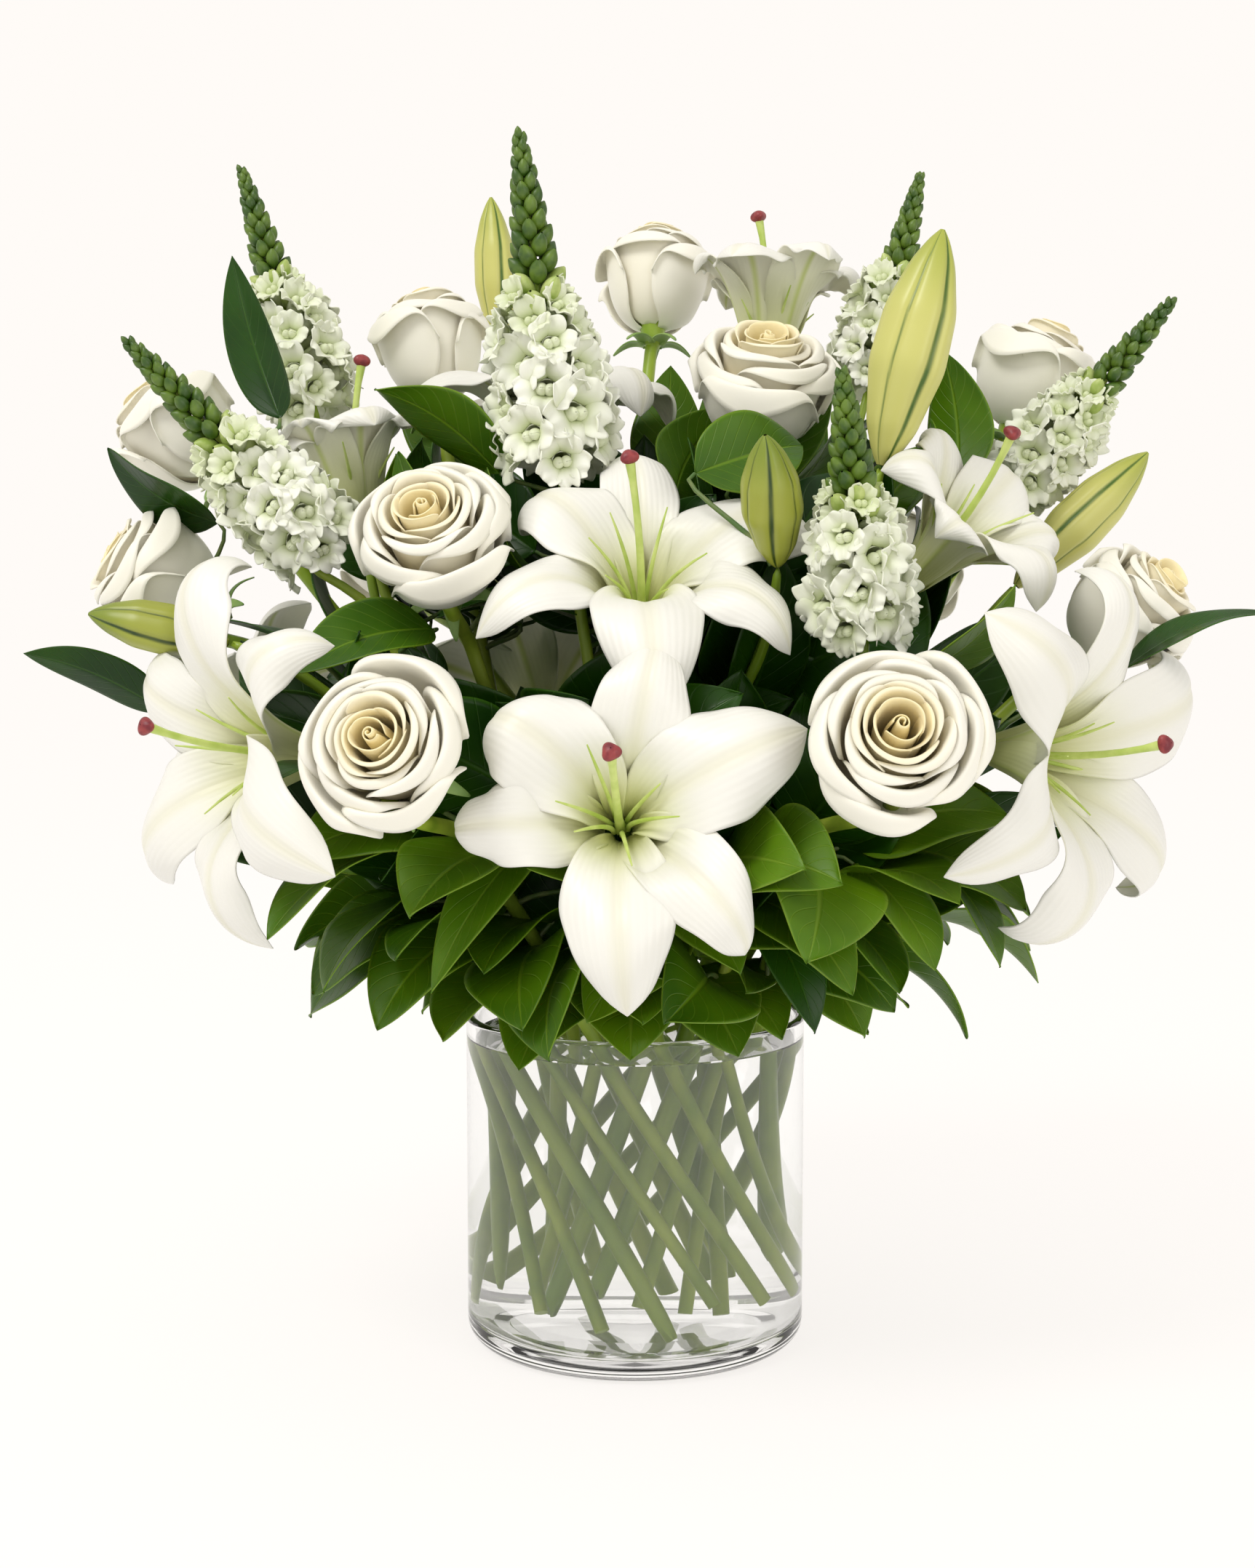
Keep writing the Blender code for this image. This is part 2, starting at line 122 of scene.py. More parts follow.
def turn(name, profile, material, steps=160):
    """A closed profile of (radius, height) turned about the vase's axis."""
    profile = braced(profile)
    mesh = bpy.data.meshes.new(name)
    edges = [(i, i + 1) for i in range(len(profile) - 1)]
    mesh.from_pydata([(r, 0, z) for r, z in profile], edges, [])
    mesh.materials.append(material)
    piece = stood(name, mesh)
    screw = piece.modifiers.new("turn", "SCREW")
    screw.steps = screw.render_steps = steps
    screw.use_merge_vertices = True
    screw.merge_threshold = 0.00001
    screw.use_smooth_shade = True
    return piece


clear_glass = principled("clear_glass", (0.996, 1.0, 0.998), 0.0, IOR=1.5, Transmission_Weight=1.0)[0]
glass_inside = vase_radius - glass_wall
inner_corner = 0.006
foot_corner = 0.009
lip = glass_wall / 2
glass_profile = [(0, glass_floor), (glass_inside * 0.5, glass_floor + 0.0004)]
inside_corner = (glass_inside - inner_corner, glass_floor + inner_corner)
glass_profile += quarter(inside_corner, inner_corner, -90, 0, 8)
glass_profile += quarter((vase_radius - lip, vase_height - lip), lip, 180, 0, 12)
glass_profile += quarter((vase_radius - foot_corner, foot_corner), foot_corner, 0, -90, 10)
glass_profile += [(vase_radius * 0.62, 0), (vase_radius * 0.55, 0.0012), (0, 0.0016)]
vase = turn("vase_glass", glass_profile, clear_glass)
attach(vase, "root")
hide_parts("vase")


# The water fills the vase to a finger's width under the rim. It wets the glass, so that its surface
# climbs the wall by a millimetre or so, and it closes round every stem.
water_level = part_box("water")[1].z
clear_water = principled("clear_water", (1.0, 1.0, 1.0), 0.0, IOR=1.33, Transmission_Weight=1.0)[0]
overlap = 0.00004
wetted = glass_inside + overlap
water_profile = [(0, water_level), (wetted - 0.004, water_level), (wetted - 0.0015, water_level + 0.0004)]
water_profile += [(wetted, water_level + 0.0014)]
low_corner = (wetted - inner_corner, glass_floor + inner_corner - overlap)
water_profile += quarter(low_corner, inner_corner, 0, -90, 8)
water_profile += [(0, glass_floor - overlap)]
water = turn("water_fill", water_profile, clear_water)
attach(water, "root")
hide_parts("water")


# The stems are straight green canes, cut on the slant and set in a spiral so that they cross at the
# waist of the vase and splay out to its floor. A rose's cane is bare of thorns and leaves below the rim.
def nodes_named(start):
    """The CAD nodes whose names start so, in order."""
    return sorted(node for node in frame["nodes"] if node.startswith(start))


def shell_points(node):
    """The corner points of a CAD node, each of them once."""
    mesh = frame["nodes"][node].data
    points = np.empty(len(mesh.vertices) * 3, np.float32)
    mesh.vertices.foreach_get("co", points)
    return np.unique(points.reshape(-1, 3).astype(float).round(5), axis=0)


def centreline(node, top, levels=22):
    """The middle of an upright CAD stalk at even heights, from its cut foot up to a given height."""
    mesh = frame["nodes"][node].data
    points = np.array([v.co for v in mesh.vertices])
    edges = np.array([e.vertices for e in mesh.edges])
    a, b = points[edges[:, 0]], points[edges[:, 1]]
    heights = np.linspace(points[:, 2].min() + 0.003, top, levels)
    middles = []
    for z in heights:
        crossing = (a[:, 2] - z) * (b[:, 2] - z) < 0
        if crossing.any():
            p, q = a[crossing], b[crossing]
            cut = p + (q - p) * ((z - p[:, 2]) / (q[:, 2] - p[:, 2]))[:, None]
            middles.append((cut.min(0) + cut.max(0)) / 2)
    return np.array(middles)


def smoothed(points, steps=4):
    """More points along the same line, in a Catmull-Rom curve."""
    points = np.vstack([2 * points[0] - points[1], points, 2 * points[-1] - points[-2]])
    found = []
    for i in range(1, len(points) - 2):
        p0, p1, p2, p3 = points[i - 1 : i + 3]
        for t in np.arange(steps) / steps:
            bend = (2 * p0 - 5 * p1 + 4 * p2 - p3) * t**2
            found.append((2 * p1 + (p2 - p0) * t + bend + (3 * p1 - p0 - 3 * p2 + p3) * t**3) / 2)
    return np.array(found + [points[-2]])


def stalk(name, lines, material, sides=3):
    """One curve object that holds a round stalk for each (points, radii) line."""
    curve = bpy.data.curves.new(name, "CURVE")
    curve.dimensions = "3D"
    curve.bevel_depth = 1.0
    curve.bevel_resolution = sides
    curve.use_fill_caps = True
    for points, radii in lines:
        spline = curve.splines.new("POLY")
        spline.points.add(len(points) - 1)
        spline.use_smooth = True
        for knot, place, radius in zip(spline.points, points, np.broadcast_to(radii, len(points))):
            knot.co = (*place, 1)
            knot.radius = radius
    curve.materials.append(material)
    return stood(name, curve)


def node_of(tree, kind, inputs=(), **settings):
    """A new shader node with its settings, and a value or a link for each input named."""
    made = tree.nodes.new(kind)
    for key, value in settings.items():
        setattr(made, key, value)
    for key, value in dict(inputs).items():
        if isinstance(value, bpy.types.NodeSocket):
            tree.links.new(value, made.inputs[key])
        else:
            made.inputs[key].default_value = value
    return made


def ramp(tree, value, low, high, start=0.0, end=1.0, kind="SMOOTHSTEP"):
    """A share that goes from start to end as the value goes from low to high."""
    inputs = {"Value": value, "From Min": low, "From Max": high, "To Min": start, "To Max": end}
    return node_of(tree, "ShaderNodeMapRange", inputs, interpolation_type=kind).outputs["Result"]


def worked(tree, operation, first, second=0.5):
    """The result of one sum."""
    inputs = {0: first, 1: second}
    return node_of(tree, "ShaderNodeMath", inputs, operation=operation).outputs["Value"]


def mixed(tree, share, first, second):
    """A colour on the way from the first to the second."""
    inputs = {"Factor": share, "A": first, "B": second}
    return node_of(tree, "ShaderNodeMix", inputs, data_type="RGBA").outputs["Result"]


def relieved(tree, shader, height, strength, distance, **settings):
    """Raises the shader's surface by a height."""
    inputs = {"Height": height, "Strength": strength, "Distance": distance}
    bump = node_of(tree, "ShaderNodeBump", inputs, **settings)
    tree.links.new(bump.outputs["Normal"], shader.inputs["Normal"])


def new_group(name, inputs, outputs):
    """A shader group with its sockets, and what its inputs give."""
    group = bpy.data.node_groups.new(name, "ShaderNodeTree")
    for side, sockets in (("INPUT", inputs), ("OUTPUT", outputs)):
        for label, kind in sockets.items():
            group.interface.new_socket(label, in_out=side, socket_type="NodeSocket" + kind)
    return group, node_of(group, "NodeGroupInput").outputs


# Shader group: a colour that drifts between two others in soft blotches, with a fine height.
mottle, given = new_group(
    "mottle",
    {"Colour A": "Color", "Colour B": "Color", "Scale": "Float", "Stretch": "Vector"},
    {"Colour": "Color", "Height": "Float"},
)
where = node_of(mottle, "ShaderNodeTexCoord").outputs["Object"]
stretch = node_of(mottle, "ShaderNodeVectorMath", {0: where, 1: given["Stretch"]}, operation="MULTIPLY")
blotch_inputs = {"Vector": stretch.outputs["Vector"], "Scale": given["Scale"], "Detail": 3}
blotch = node_of(mottle, "ShaderNodeTexNoise", blotch_inputs).outputs["Fac"]
drift = ramp(mottle, blotch, 0.36, 0.64, kind="LINEAR")
drifted = mixed(mottle, drift, given["Colour A"], given["Colour B"])
node_of(mottle, "NodeGroupOutput", {"Colour": drifted, "Height": blotch})


def mottling(tree, colour_a, colour_b, scale, stretch=(1, 1, 1)):
    """What the mottle group gives for two colours."""
    inputs = {"Colour A": (*colour_a, 1), "Colour B": (*colour_b, 1), "Scale": scale, "Stretch": stretch}
    return node_of(tree, "ShaderNodeGroup", inputs, node_tree=mottle).outputs


def mottled(name, colour_a, colour_b, scale, roughness, stretch=(1, 1, 1), bump=0.1):
    """A living surface: two close colours in blotches, and a slight unevenness."""
    made, tree, shader = principled(name, colour_a, roughness)
    blotches = mottling(tree, colour_a, colour_b, scale, stretch)
    tree.links.new(blotches["Colour"], shader.inputs["Base Color"])
    relieved(tree, shader, blotches["Height"], bump, 0.001)
    return made


cane_green = mottled("cane_green", (0.22, 0.35, 0.018), (0.41, 0.53, 0.055), 60, 0.4, (1, 1, 0.3))


rose_height = 0.054


def rose_head(node):
    """(foot of the head, axis, radius) of a CAD rose, from the flat disc that tops it."""
    mesh = frame["nodes"][node].data
    normals = np.array([f.normal for f in mesh.polygons])
    areas = np.array([f.area for f in mesh.polygons])
    centres = np.array([f.center for f in mesh.polygons])
    alike = normals @ normals.T > 0.9998
    best = (alike * areas).sum(1).argmax()
    top = (centres * (areas * alike[best])[:, None]).sum(0) / (areas * alike[best]).sum()
    axis = normals[best]
    off = shell_points(node) - top
    near = off[off @ axis > -0.03]
    radius = np.linalg.norm(near - np.outer(near @ axis, axis), axis=1).max()
    return top - axis * rose_height, axis, radius


rose_nodes = nodes_named("rose")
rose_heads = {node: rose_head(node) for node in rose_nodes}
for node in rose_nodes:
    foot_of_head, axis, radius = rose_heads[node]
    below = foot_of_head - axis * 0.006
    line = centreline(node, below[2] - 0.004)
    line = smoothed(np.vstack([line, below, foot_of_head + axis * 0.008]), 3)
    girth = np.full(len(line), 0.0031)
    girth[-5:] = np.linspace(0.0033, 0.0075, 5)
    cane = stalk(f"{node}_cane", [(line, girth)], cane_green)
    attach(cane, "root")
    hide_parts(node)


# A lily's bloom is a trumpet of six fleshy white tepals that open flat and roll back at their tips. The
# three outer ones are narrower and lie behind the three broad ones. They all join at the top of the stalk.
def unit(vector):
    return vector / np.linalg.norm(vector)


def facing(origin, axis, roll=0.0):
    """(origin, rows of local X, Y and Z): Z along the axis, Y leaning to the sky, then turned by roll."""
    z = unit(np.asarray(axis, float))
    x = np.cross((0, 0, 1), z)
    x = unit(x) if np.linalg.norm(x) > 1e-4 else np.array([1.0, 0, 0])
    y = np.cross(z, x)
    c, s = math.cos(roll), math.sin(roll)
    return np.asarray(origin, float), np.array([c * x + s * y, c * y - s * x, z])


def placed(grid, frame_at):
    """Local points moved to where the frame stands."""
    origin, rows = frame_at
    return origin + grid @ rows


def sheets(name, grids, materials, thickness=0.0, levels=1, marks=None, closed=False):
    """One mesh from several grids of points (rows, columns, 3), with a UV map of each grid's own marks.
    marks holds (rows, columns, 2) for each grid; without it, U runs across and V along."""
    points, faces, spots = [], [], []
    for i, grid in enumerate(grids):
        rows, columns = grid.shape[:2]
        base = sum(len(p) for p in points)
        points.append(grid.reshape(-1, 3))
        if marks is None:
            v, u = np.meshgrid(np.linspace(0, 1, rows), np.linspace(0, 1, columns), indexing="ij")
            spots.append(np.stack([u, v], 2).reshape(-1, 2))
        else:
            spots.append(marks[i].reshape(-1, 2))
        across = columns if closed else columns - 1
        for r in range(rows - 1):
            for c in range(across):
                d = (c + 1) % columns
                start = base + r * columns
                faces.append((start + c, start + d, start + columns + d, start + columns + c))
    mesh = bpy.data.meshes.new(name)
    mesh.from_pydata(np.vstack(points).tolist(), [], faces)
    spots = np.vstack(spots)
    layer = mesh.uv_layers.new(name="marks")
    corners = np.empty(len(mesh.loops), np.int32)
    mesh.loops.foreach_get("vertex_index", corners)
    layer.data.foreach_set("uv", spots[corners].astype(np.float32).ravel())
    mesh.shade_smooth()
    for material in materials:
        mesh.materials.append(material)
    piece = stood(name, mesh)
    if levels:
        soft = piece.modifiers.new("soft", "SUBSURF")
        soft.levels = soft.render_levels = levels
    if thickness:
        skin = piece.modifiers.new("flesh", "SOLIDIFY")
        skin.thickness = thickness
        skin.offset = 0
        skin.material_offset = 1 if len(materials) > 1 else 0
        skin.material_offset_rim = 0
    return piece


def read_bloom(node):
    """(throat, axis, roll, radii and rises of a midrib) of a CAD lily bloom."""
    points = shell_points(node)
    gaps = np.linalg.norm(points[:, None] - points[None], axis=2)
    throat = points[(gaps < 0.0105).sum(1).argmax()]
    for _ in range(4):
        throat = points[np.linalg.norm(points - throat, axis=1) < 0.007].mean(0)
    axis = unit(points.mean(0) - throat)
    origin, rows = facing(throat, axis)
    local = (points - origin) @ rows.T
    reach = np.linalg.norm(local[:, :2], axis=1)
    turn_of = np.arctan2(local[:, 1], local[:, 0])
    tips = reach > 0.95 * reach.max()
    roll = np.angle(np.exp(6j * turn_of[tips]).mean()) / 6
    off = np.angle(np.exp(6j * (turn_of - roll))) / 6
    rib = (abs(off) < 0.05) & (reach > 0.003)
    order = np.argsort(reach[rib])
    groups = np.array_split(order, 6)
    radii = np.array([reach[rib][g].mean() for g in groups])
    rises = np.array([local[rib][g, 2].mean() for g in groups])
    return throat, axis, roll, radii, rises


def marked(tree):
    """The two marks that a sheet's UV map holds."""
    spot = node_of(tree, "ShaderNodeUVMap", uv_map="marks").outputs["UV"]
    split = node_of(tree, "ShaderNodeSeparateXYZ", {"Vector": spot}).outputs
    return split["X"], split["Y"]


# Shader group: how near a point is to a petal's throat and its midrib, and its fine long veins.
petal_marks, given = new_group(
    "petal_marks",
    {"Throat Reach": "Float", "Rib Width": "Float", "Vein Count": "Float"},
    {"Throat": "Float", "Rib": "Float", "Veins": "Float"},
)
across, along = marked(petal_marks)
away = worked(petal_marks, "ABSOLUTE", worked(petal_marks, "SUBTRACT", across, 0.5))
petal_shares = {
    "Throat": ramp(petal_marks, along, 0, given["Throat Reach"], 1, 0),
    "Rib": ramp(petal_marks, away, 0, given["Rib Width"], 1, 0),
    "Veins": worked(petal_marks, "SINE", worked(petal_marks, "MULTIPLY", across, given["Vein Count"])),
}
node_of(petal_marks, "NodeGroupOutput", petal_shares)
soft_flesh = {"Subsurface_Weight": 0.12, "Subsurface_Scale": 0.003}
waxy = {"Subsurface_Radius": (1.0, 0.97, 0.85), "Sheen_Weight": 0.1, **soft_flesh}


def petal_material(name, body, throat, rib, rib_share, throat_reach, rib_width, bump):
    """Petal flesh: a body colour that greens towards the throat and along the midrib, with long veins. The tint
    along the midrib and towards the throat is partly the lily's own green and partly painted shade in the
    groove and the trumpet.
    """
    made, tree, shader = principled(name, body, 0.42, **waxy)
    inputs = {"Throat Reach": throat_reach, "Rib Width": rib_width, "Vein Count": 90}
    marks = node_of(tree, "ShaderNodeGroup", inputs, node_tree=petal_marks).outputs
    greener = mixed(tree, marks["Throat"], (*body, 1), (*throat, 1))
    rib_tint_and_shade = mixed(tree, worked(tree, "MULTIPLY", marks["Rib"], rib_share), greener, (*rib, 1))
    tree.links.new(rib_tint_and_shade, shader.inputs["Base Color"])
    relieved(tree, shader, marks["Veins"], bump, 0.0004)
    return made


# On the face, the darker cream along the midrib is painted shade in its groove. The throat's yellow-green,
# drawn half way out along the tepal, is the lily's own green throat with painted shade in the trumpet.
lily_face = petal_material(
    "lily_face", (0.83, 0.82, 0.755), (0.66, 0.67, 0.20), (0.72, 0.70, 0.46), 0.38, 0.50, 0.16, 0.12
)
lily_back = petal_material(
    "lily_back", (0.82, 0.81, 0.70), (0.56, 0.60, 0.20), (0.50, 0.58, 0.16), 0.75, 0.6, 0.07, 0.08
)


def tepal(radii, rises, turn_at, broad, chance, scale, bend, grown):
    """One tepal in the bloom's frame: it hugs the trumpet, spreads, and rolls back at its tip."""
    t = np.linspace(0, 1, 27)
    knots = np.linspace(0, 1, 6)
    line = np.stack([np.polynomial.Polynomial.fit(knots, k, 4)(t) for k in (radii, rises)], 1)
    curl_to, lean = bend if bend else (chance.uniform(0.5, 1.7), chance.uniform(-0.12, 0.12))
    runs = np.diff(line, axis=0) * (1.08 if broad else 1.12) * chance.uniform(0.97, 1.07) * grown
    begin = chance.uniform(0.52, 0.66)
    curl = curl_to * np.clip((t[1:] - begin) / (1 - begin), 0, 1) ** 1.4
    c, s = np.cos(curl), np.sin(curl)
    turned = np.stack([runs[:, 0] * c + runs[:, 1] * s, runs[:, 1] * c - runs[:, 0] * s], 1)
    line = np.vstack([line[:1], line[0] + np.cumsum(turned, 0)])
    tangent = np.gradient(line, axis=0)
    tangent /= np.linalg.norm(tangent, axis=1)[:, None]
    t, s = t[:, None], np.linspace(-1, 1, 15)[None]
    if broad:
        half = 0.0222 * (t**0.95 * (1 - t) ** 0.55 / 0.373) + 0.0035 * (1 - t) ** 3
    else:
        half = 0.0168 * (t**0.80 * (1 - t) ** 0.60 / 0.3846) + 0.003 * (1 - t) ** 3
    half = half * scale * chance.uniform(0.95, 1.06)
    cup = 0.30 - 0.75 * np.clip((t - 0.12) / 0.6, 0, 1) + chance.uniform(-0.08, 0.08)
    rib = 0.0013 * scale * np.exp(-((s / 0.10) ** 2)) * np.sin(np.pi * t) ** 0.6
    lift = cup * half * s**2 - rib
    sides = np.where(s > 0, chance.uniform(0, 6), chance.uniform(0, 6))
    ruffle = np.sin(2 * np.pi * chance.uniform(2.0, 2.9) * t + sides)
    lift = lift + 0.0026 * scale * ruffle * abs(s) ** 2.6 * np.sin(np.pi * np.clip(t, 0, 1)) ** 0.5
    lift = lift - (0.0 if broad else 0.0016 + 0.004 * t)
    radius = line[:, :1] - lift * tangent[:, 1:]
    depth = line[:, 1:] + lift * tangent[:, :1]
    span = np.maximum(line[:, :1], half / 1.05)
    angle = turn_at + s * half / span + lean * t**2
    return np.stack([radius * np.cos(angle), radius * np.sin(angle), depth], 2)


style_green = mottled("style_green", (0.42, 0.56, 0.10), (0.60, 0.70, 0.22), 90, 0.35)
stigma_red = mottled("stigma_red", (0.16, 0.012, 0.020), (0.30, 0.04, 0.04), 300, 0.45, bump=0.4)


def stigma_knob(where, axis, size):
    """The three-lobed knob at the end of the style, as one closed grid of points."""
    around, up = 18, 9
    a = np.linspace(0, 2 * np.pi, around, endpoint=False)[None]
    h = np.linspace(0.02, 0.98, up)[:, None] * np.pi
    lobes = 1 + 0.16 * np.cos(3 * a) * np.sin(h)
    out = np.sin(h) * lobes
    ball = np.stack([out * np.cos(a), out * np.sin(a), -0.75 * np.cos(h) + 0 * a], 2)
    return placed(ball * size, facing(where, axis))


# The bloom at the front of the bunch: how far each tepal is turned aside, rolled back and bent, going
# round from the right. Some blooms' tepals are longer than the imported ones.
posed = {
    "lily_front": (
        (0.10, 0.75, 0.06), (0.0, 1.1, 0.05), (-0.04, 2.2, 0.22),
        (-0.10, 1.5, -0.10), (0.26, 0.9, 0.04), (0.10, 1.2, -0.16),
    ),
}
fuller = {"lily_left": 1.15, "lily_right": 1.18, "lily_upper_right": 1.08}
bloom_nodes = [node for node in nodes_named("lily") if "stem" not in node]
for number, node in enumerate(bloom_nodes):
    throat, axis, roll, radii, rises = read_bloom(node)
    chance = np.random.default_rng(40 + number)
    at = facing(throat, axis, roll)
    scale = radii[-1] / 0.08 if radii[-1] > 0.06 else 0.85
    grids = []
    for k in range(6):
        turn_at = k * math.pi / 3 + chance.uniform(-0.08, 0.08)
        bend = None
        if node in posed:
            place = round(math.degrees(roll + k * math.pi / 3) / 60) % 6
            shift, *bend = posed[node][place]
            turn_at = k * math.pi / 3 + shift
        grown = fuller.get(node, 1.0)
        grid = tepal(radii, rises, turn_at, k % 2 == 0, chance, scale, bend, grown)
        grids.append(placed(grid, at))
    petals = sheets(f"{node}_tepals", grids, [lily_back, lily_face], thickness=0.0007)
    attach(petals, "root")
    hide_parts(node)

    length = 0.078 * (0.85 + 0.15 * scale)
    sag = chance.uniform(-0.10, 0.10)
    t = np.linspace(0, 1, 9)[:, None]
    local = np.hstack([sag * length * t**2, 0.16 * length * t**2.2, 0.004 + length * t])
    line = placed(local, at)
    lines = [(line, np.interp(t[:, 0], [0, 0.15, 0.85, 1], [0.0030, 0.0017, 0.0014, 0.0022]))]
    thread = np.interp(t[:, 0], [0, 0.8, 1], [0.0012, 0.0007, 0.0003])
    for k in range(6):
        angle = (k + 0.5) * math.pi / 3 + chance.uniform(-0.3, 0.3)
        lift = chance.uniform(0.18, 0.34) * length
        height = length * chance.uniform(0.42, 0.66)
        out = 0.003 + lift * t**1.9
        local = np.hstack([out * math.cos(angle), out * math.sin(angle), 0.004 + height * t])
        lines.append((placed(local, at), thread))
    heart = stalk(f"{node}_style_and_filaments", lines, style_green)
    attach(heart, "root")
    tip = unit(line[-1] - line[-2])
    knob = sheets(f"{node}_stigma", [stigma_knob(line[-1], tip, 0.0038)], [stigma_red], closed=True)
    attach(knob, "root")


# The lily stems are stout branched canes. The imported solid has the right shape, so it stays and is only
# rounded off and given the skin of a living stalk.
lily_cane = mottled("lily_cane", (0.18, 0.31, 0.014), (0.33, 0.46, 0.04), 45, 0.38, (1, 1, 0.25))
for node in nodes_named("lily_stem"):
    cane = frame["nodes"][node]
    cane.data.materials.clear()
    cane.data.materials.append(lily_cane)
    if "custom_normal" in cane.data.attributes:
        cane.data.attributes.remove(cane.data.attributes["custom_normal"])
    cane.data.shade_smooth()
    weld = cane.modifiers.new("weld", "WELD")
    weld.merge_threshold = 0.00005
    smooth = cane.modifiers.new("soft", "SUBSURF")
    smooth.levels = smooth.render_levels = 1


# A rose is a tight cone of rolled petals in the middle and some two dozen broad ones set in a spiral
# round it, each wrapping the last. The outer ones open, and their rims roll back to a soft point.
def grained(tree, shader, scale, strength, distance):
    """Gives the surface a fine grain, and gives back the grain's height."""
    where = node_of(tree, "ShaderNodeTexCoord").outputs["Object"]
    grain = node_of(tree, "ShaderNodeTexNoise", {"Vector": where, "Scale": scale}).outputs["Fac"]
    relieved(tree, shader, grain, strength, distance)
    return grain


# Ivory petal flesh, cream to amber in the heart and at the foot of each petal. The amber at the feet of the
# inner and middle petals, deep in the cup, is painted warm shade over the rose's own cream heart.
silky = {"Subsurface_Radius": (1.0, 0.95, 0.8), "Sheen_Weight": 0.2, **soft_flesh}
rose_flesh, tree, shader = principled("rose_flesh", (0.93, 0.92, 0.86), 0.5, **silky)
across, along = marked(tree)
# held marks the feet of the inner and middle petals, deep in the cup. The amber there is painted warm shade.
held = worked(tree, "MULTIPLY", ramp(tree, along, 0.90, 0.35, 0, 0.9), ramp(tree, across, 0.92, 0.35))
heart_cream_and_cup_shade = worked(tree, "MAXIMUM", ramp(tree, across, 0.60, -0.10), held)
ivory = mixed(tree, heart_cream_and_cup_shade, (0.91, 0.885, 0.77, 1), (0.93, 0.80, 0.44, 1))
tree.links.new(ivory, shader.inputs["Base Color"])
grained(tree, shader, 900, 0.12, 0.0003)
sepal_green = mottled("sepal_green", (0.16, 0.30, 0.06), (0.28, 0.42, 0.12), 80, 0.5)

# Where a petal runs from its foot to its rim, as (radius, height) shares of the head: in the heart, half
# way out, and outermost.
heart_course, middle_course, outer_course = np.array([
    [(0.04, 0.10), (0.17, 0.35), (0.21, 0.70), (0.19, 0.92), (0.16, 0.985), (0.18, 1.0)],
    [(0.08, 0.06), (0.52, 0.18), (0.54, 0.58), (0.44, 0.84), (0.50, 0.97), (0.63, 0.86)],
    [(0.10, 0.02), (0.85, 0.02), (0.95, 0.45), (0.80, 0.80), (0.98, 0.86), (1.09, 0.52)],
])


def bezier(course, t):
    """Points along a smooth line that leaves its first and reaches its last control point."""
    n = len(course) - 1
    shares = [math.comb(n, i) * (t**i * (1 - t) ** (n - i)) for i in range(n + 1)]
    return sum(share[..., None] * point for share, point in zip(shares, course))


def rose_petal(q, turn_at, radius, height, chance):
    """One petal: q is 0 in the heart and 1 outermost."""
    v = np.linspace(0.03, 1, 15)[:, None]
    s = np.linspace(-1, 1, 17)[None]
    if q < 0.5:
        course = heart_course + (middle_course - heart_course) * (q / 0.5) ** 0.9
    else:
        course = middle_course + (outer_course - middle_course) * ((q - 0.5) / 0.5) ** 1.1
    course = course * chance.uniform(0.95, 1.04)
    rim = 1 - (0.22 + 0.30 * q) * abs(s) ** 2.8 + 0.03 * np.exp(-((s / 0.22) ** 2)) * q
    path = bezier(course, v * rim)
    r, z = path[..., 0] * radius, path[..., 1] * height
    half = (1.70 - 0.72 * q**0.7) * (0.42 + 0.58 * np.sin(np.pi / 2 * np.clip(v / 0.62, 0, 1)))
    angle = turn_at + s * half
    r = r + (0.020 + 0.035 * q) * radius * s * v
    fold = (0.25 + 0.75 * q) * np.clip((v - 0.70) / 0.30, 0, 1) ** 2 * abs(s) ** 1.2
    r = r + 0.07 * radius * fold
    z = z - 0.16 * height * fold * q
    ripple = np.sin(3.1 * s + chance.uniform(0, 6)) + 0.6 * np.sin(7 * s + chance.uniform(0, 6))
    r = r + 0.016 * radius * (0.3 + q) * ripple * v**2
    z = z + 0.022 * height * (0.2 + q) * np.sin(5 * s + chance.uniform(0, 6)) * v**3
    lean = chance.uniform(-0.035, 0.035, 2) * radius * (1 - q)
    grid = np.stack([r * np.cos(angle) + lean[0] * v, r * np.sin(angle) + lean[1] * v, z], 2)
    marks = np.stack([q + 0 * angle, v + 0 * angle], 2)
    return grid, marks


def rose_core(radius, height):
    """The rolled heart: one narrow strip that winds out through nearly two turns."""
    v = np.linspace(0.3, 1, 9)[:, None]
    w = np.linspace(0, 1, 64)[None]
    angle = w * 1.7 * 2 * np.pi
    r = radius * (0.025 + 0.115 * w) * (1 - 0.35 * np.clip((v - 0.7) / 0.3, 0, 1) ** 2)
    z = height * v * (0.955 + 0.02 * np.sin(angle * 0.5))
    grid = np.stack([r * np.cos(angle), r * np.sin(angle), z + 0 * angle], 2)
    marks = np.stack([0 * r, v + 0 * angle], 2)
    return grid, marks


def swung(ahead, aside, rise, turn_at):
    """A grid from how far its points lie ahead, aside and up, swung round Z."""
    c, s = math.cos(turn_at), math.sin(turn_at)
    return np.stack([ahead * c - aside * s, ahead * s + aside * c, rise], 2)


def sepal(turn_at, radius, height):
    """One narrow green sepal under the head, curling away from it."""
    v = np.linspace(0, 1, 9)[:, None]
    s = np.linspace(-1, 1, 5)[None]
    r = radius * (0.10 + 0.55 * v) + 0 * s
    z = -height * (0.10 - 0.22 * v + 0.30 * v**2) + 0 * s
    side = s * (0.0045 * (1 - v) ** 0.7 + 0.0004)
    return swung(r, side, z - 0.3 * abs(side), turn_at)


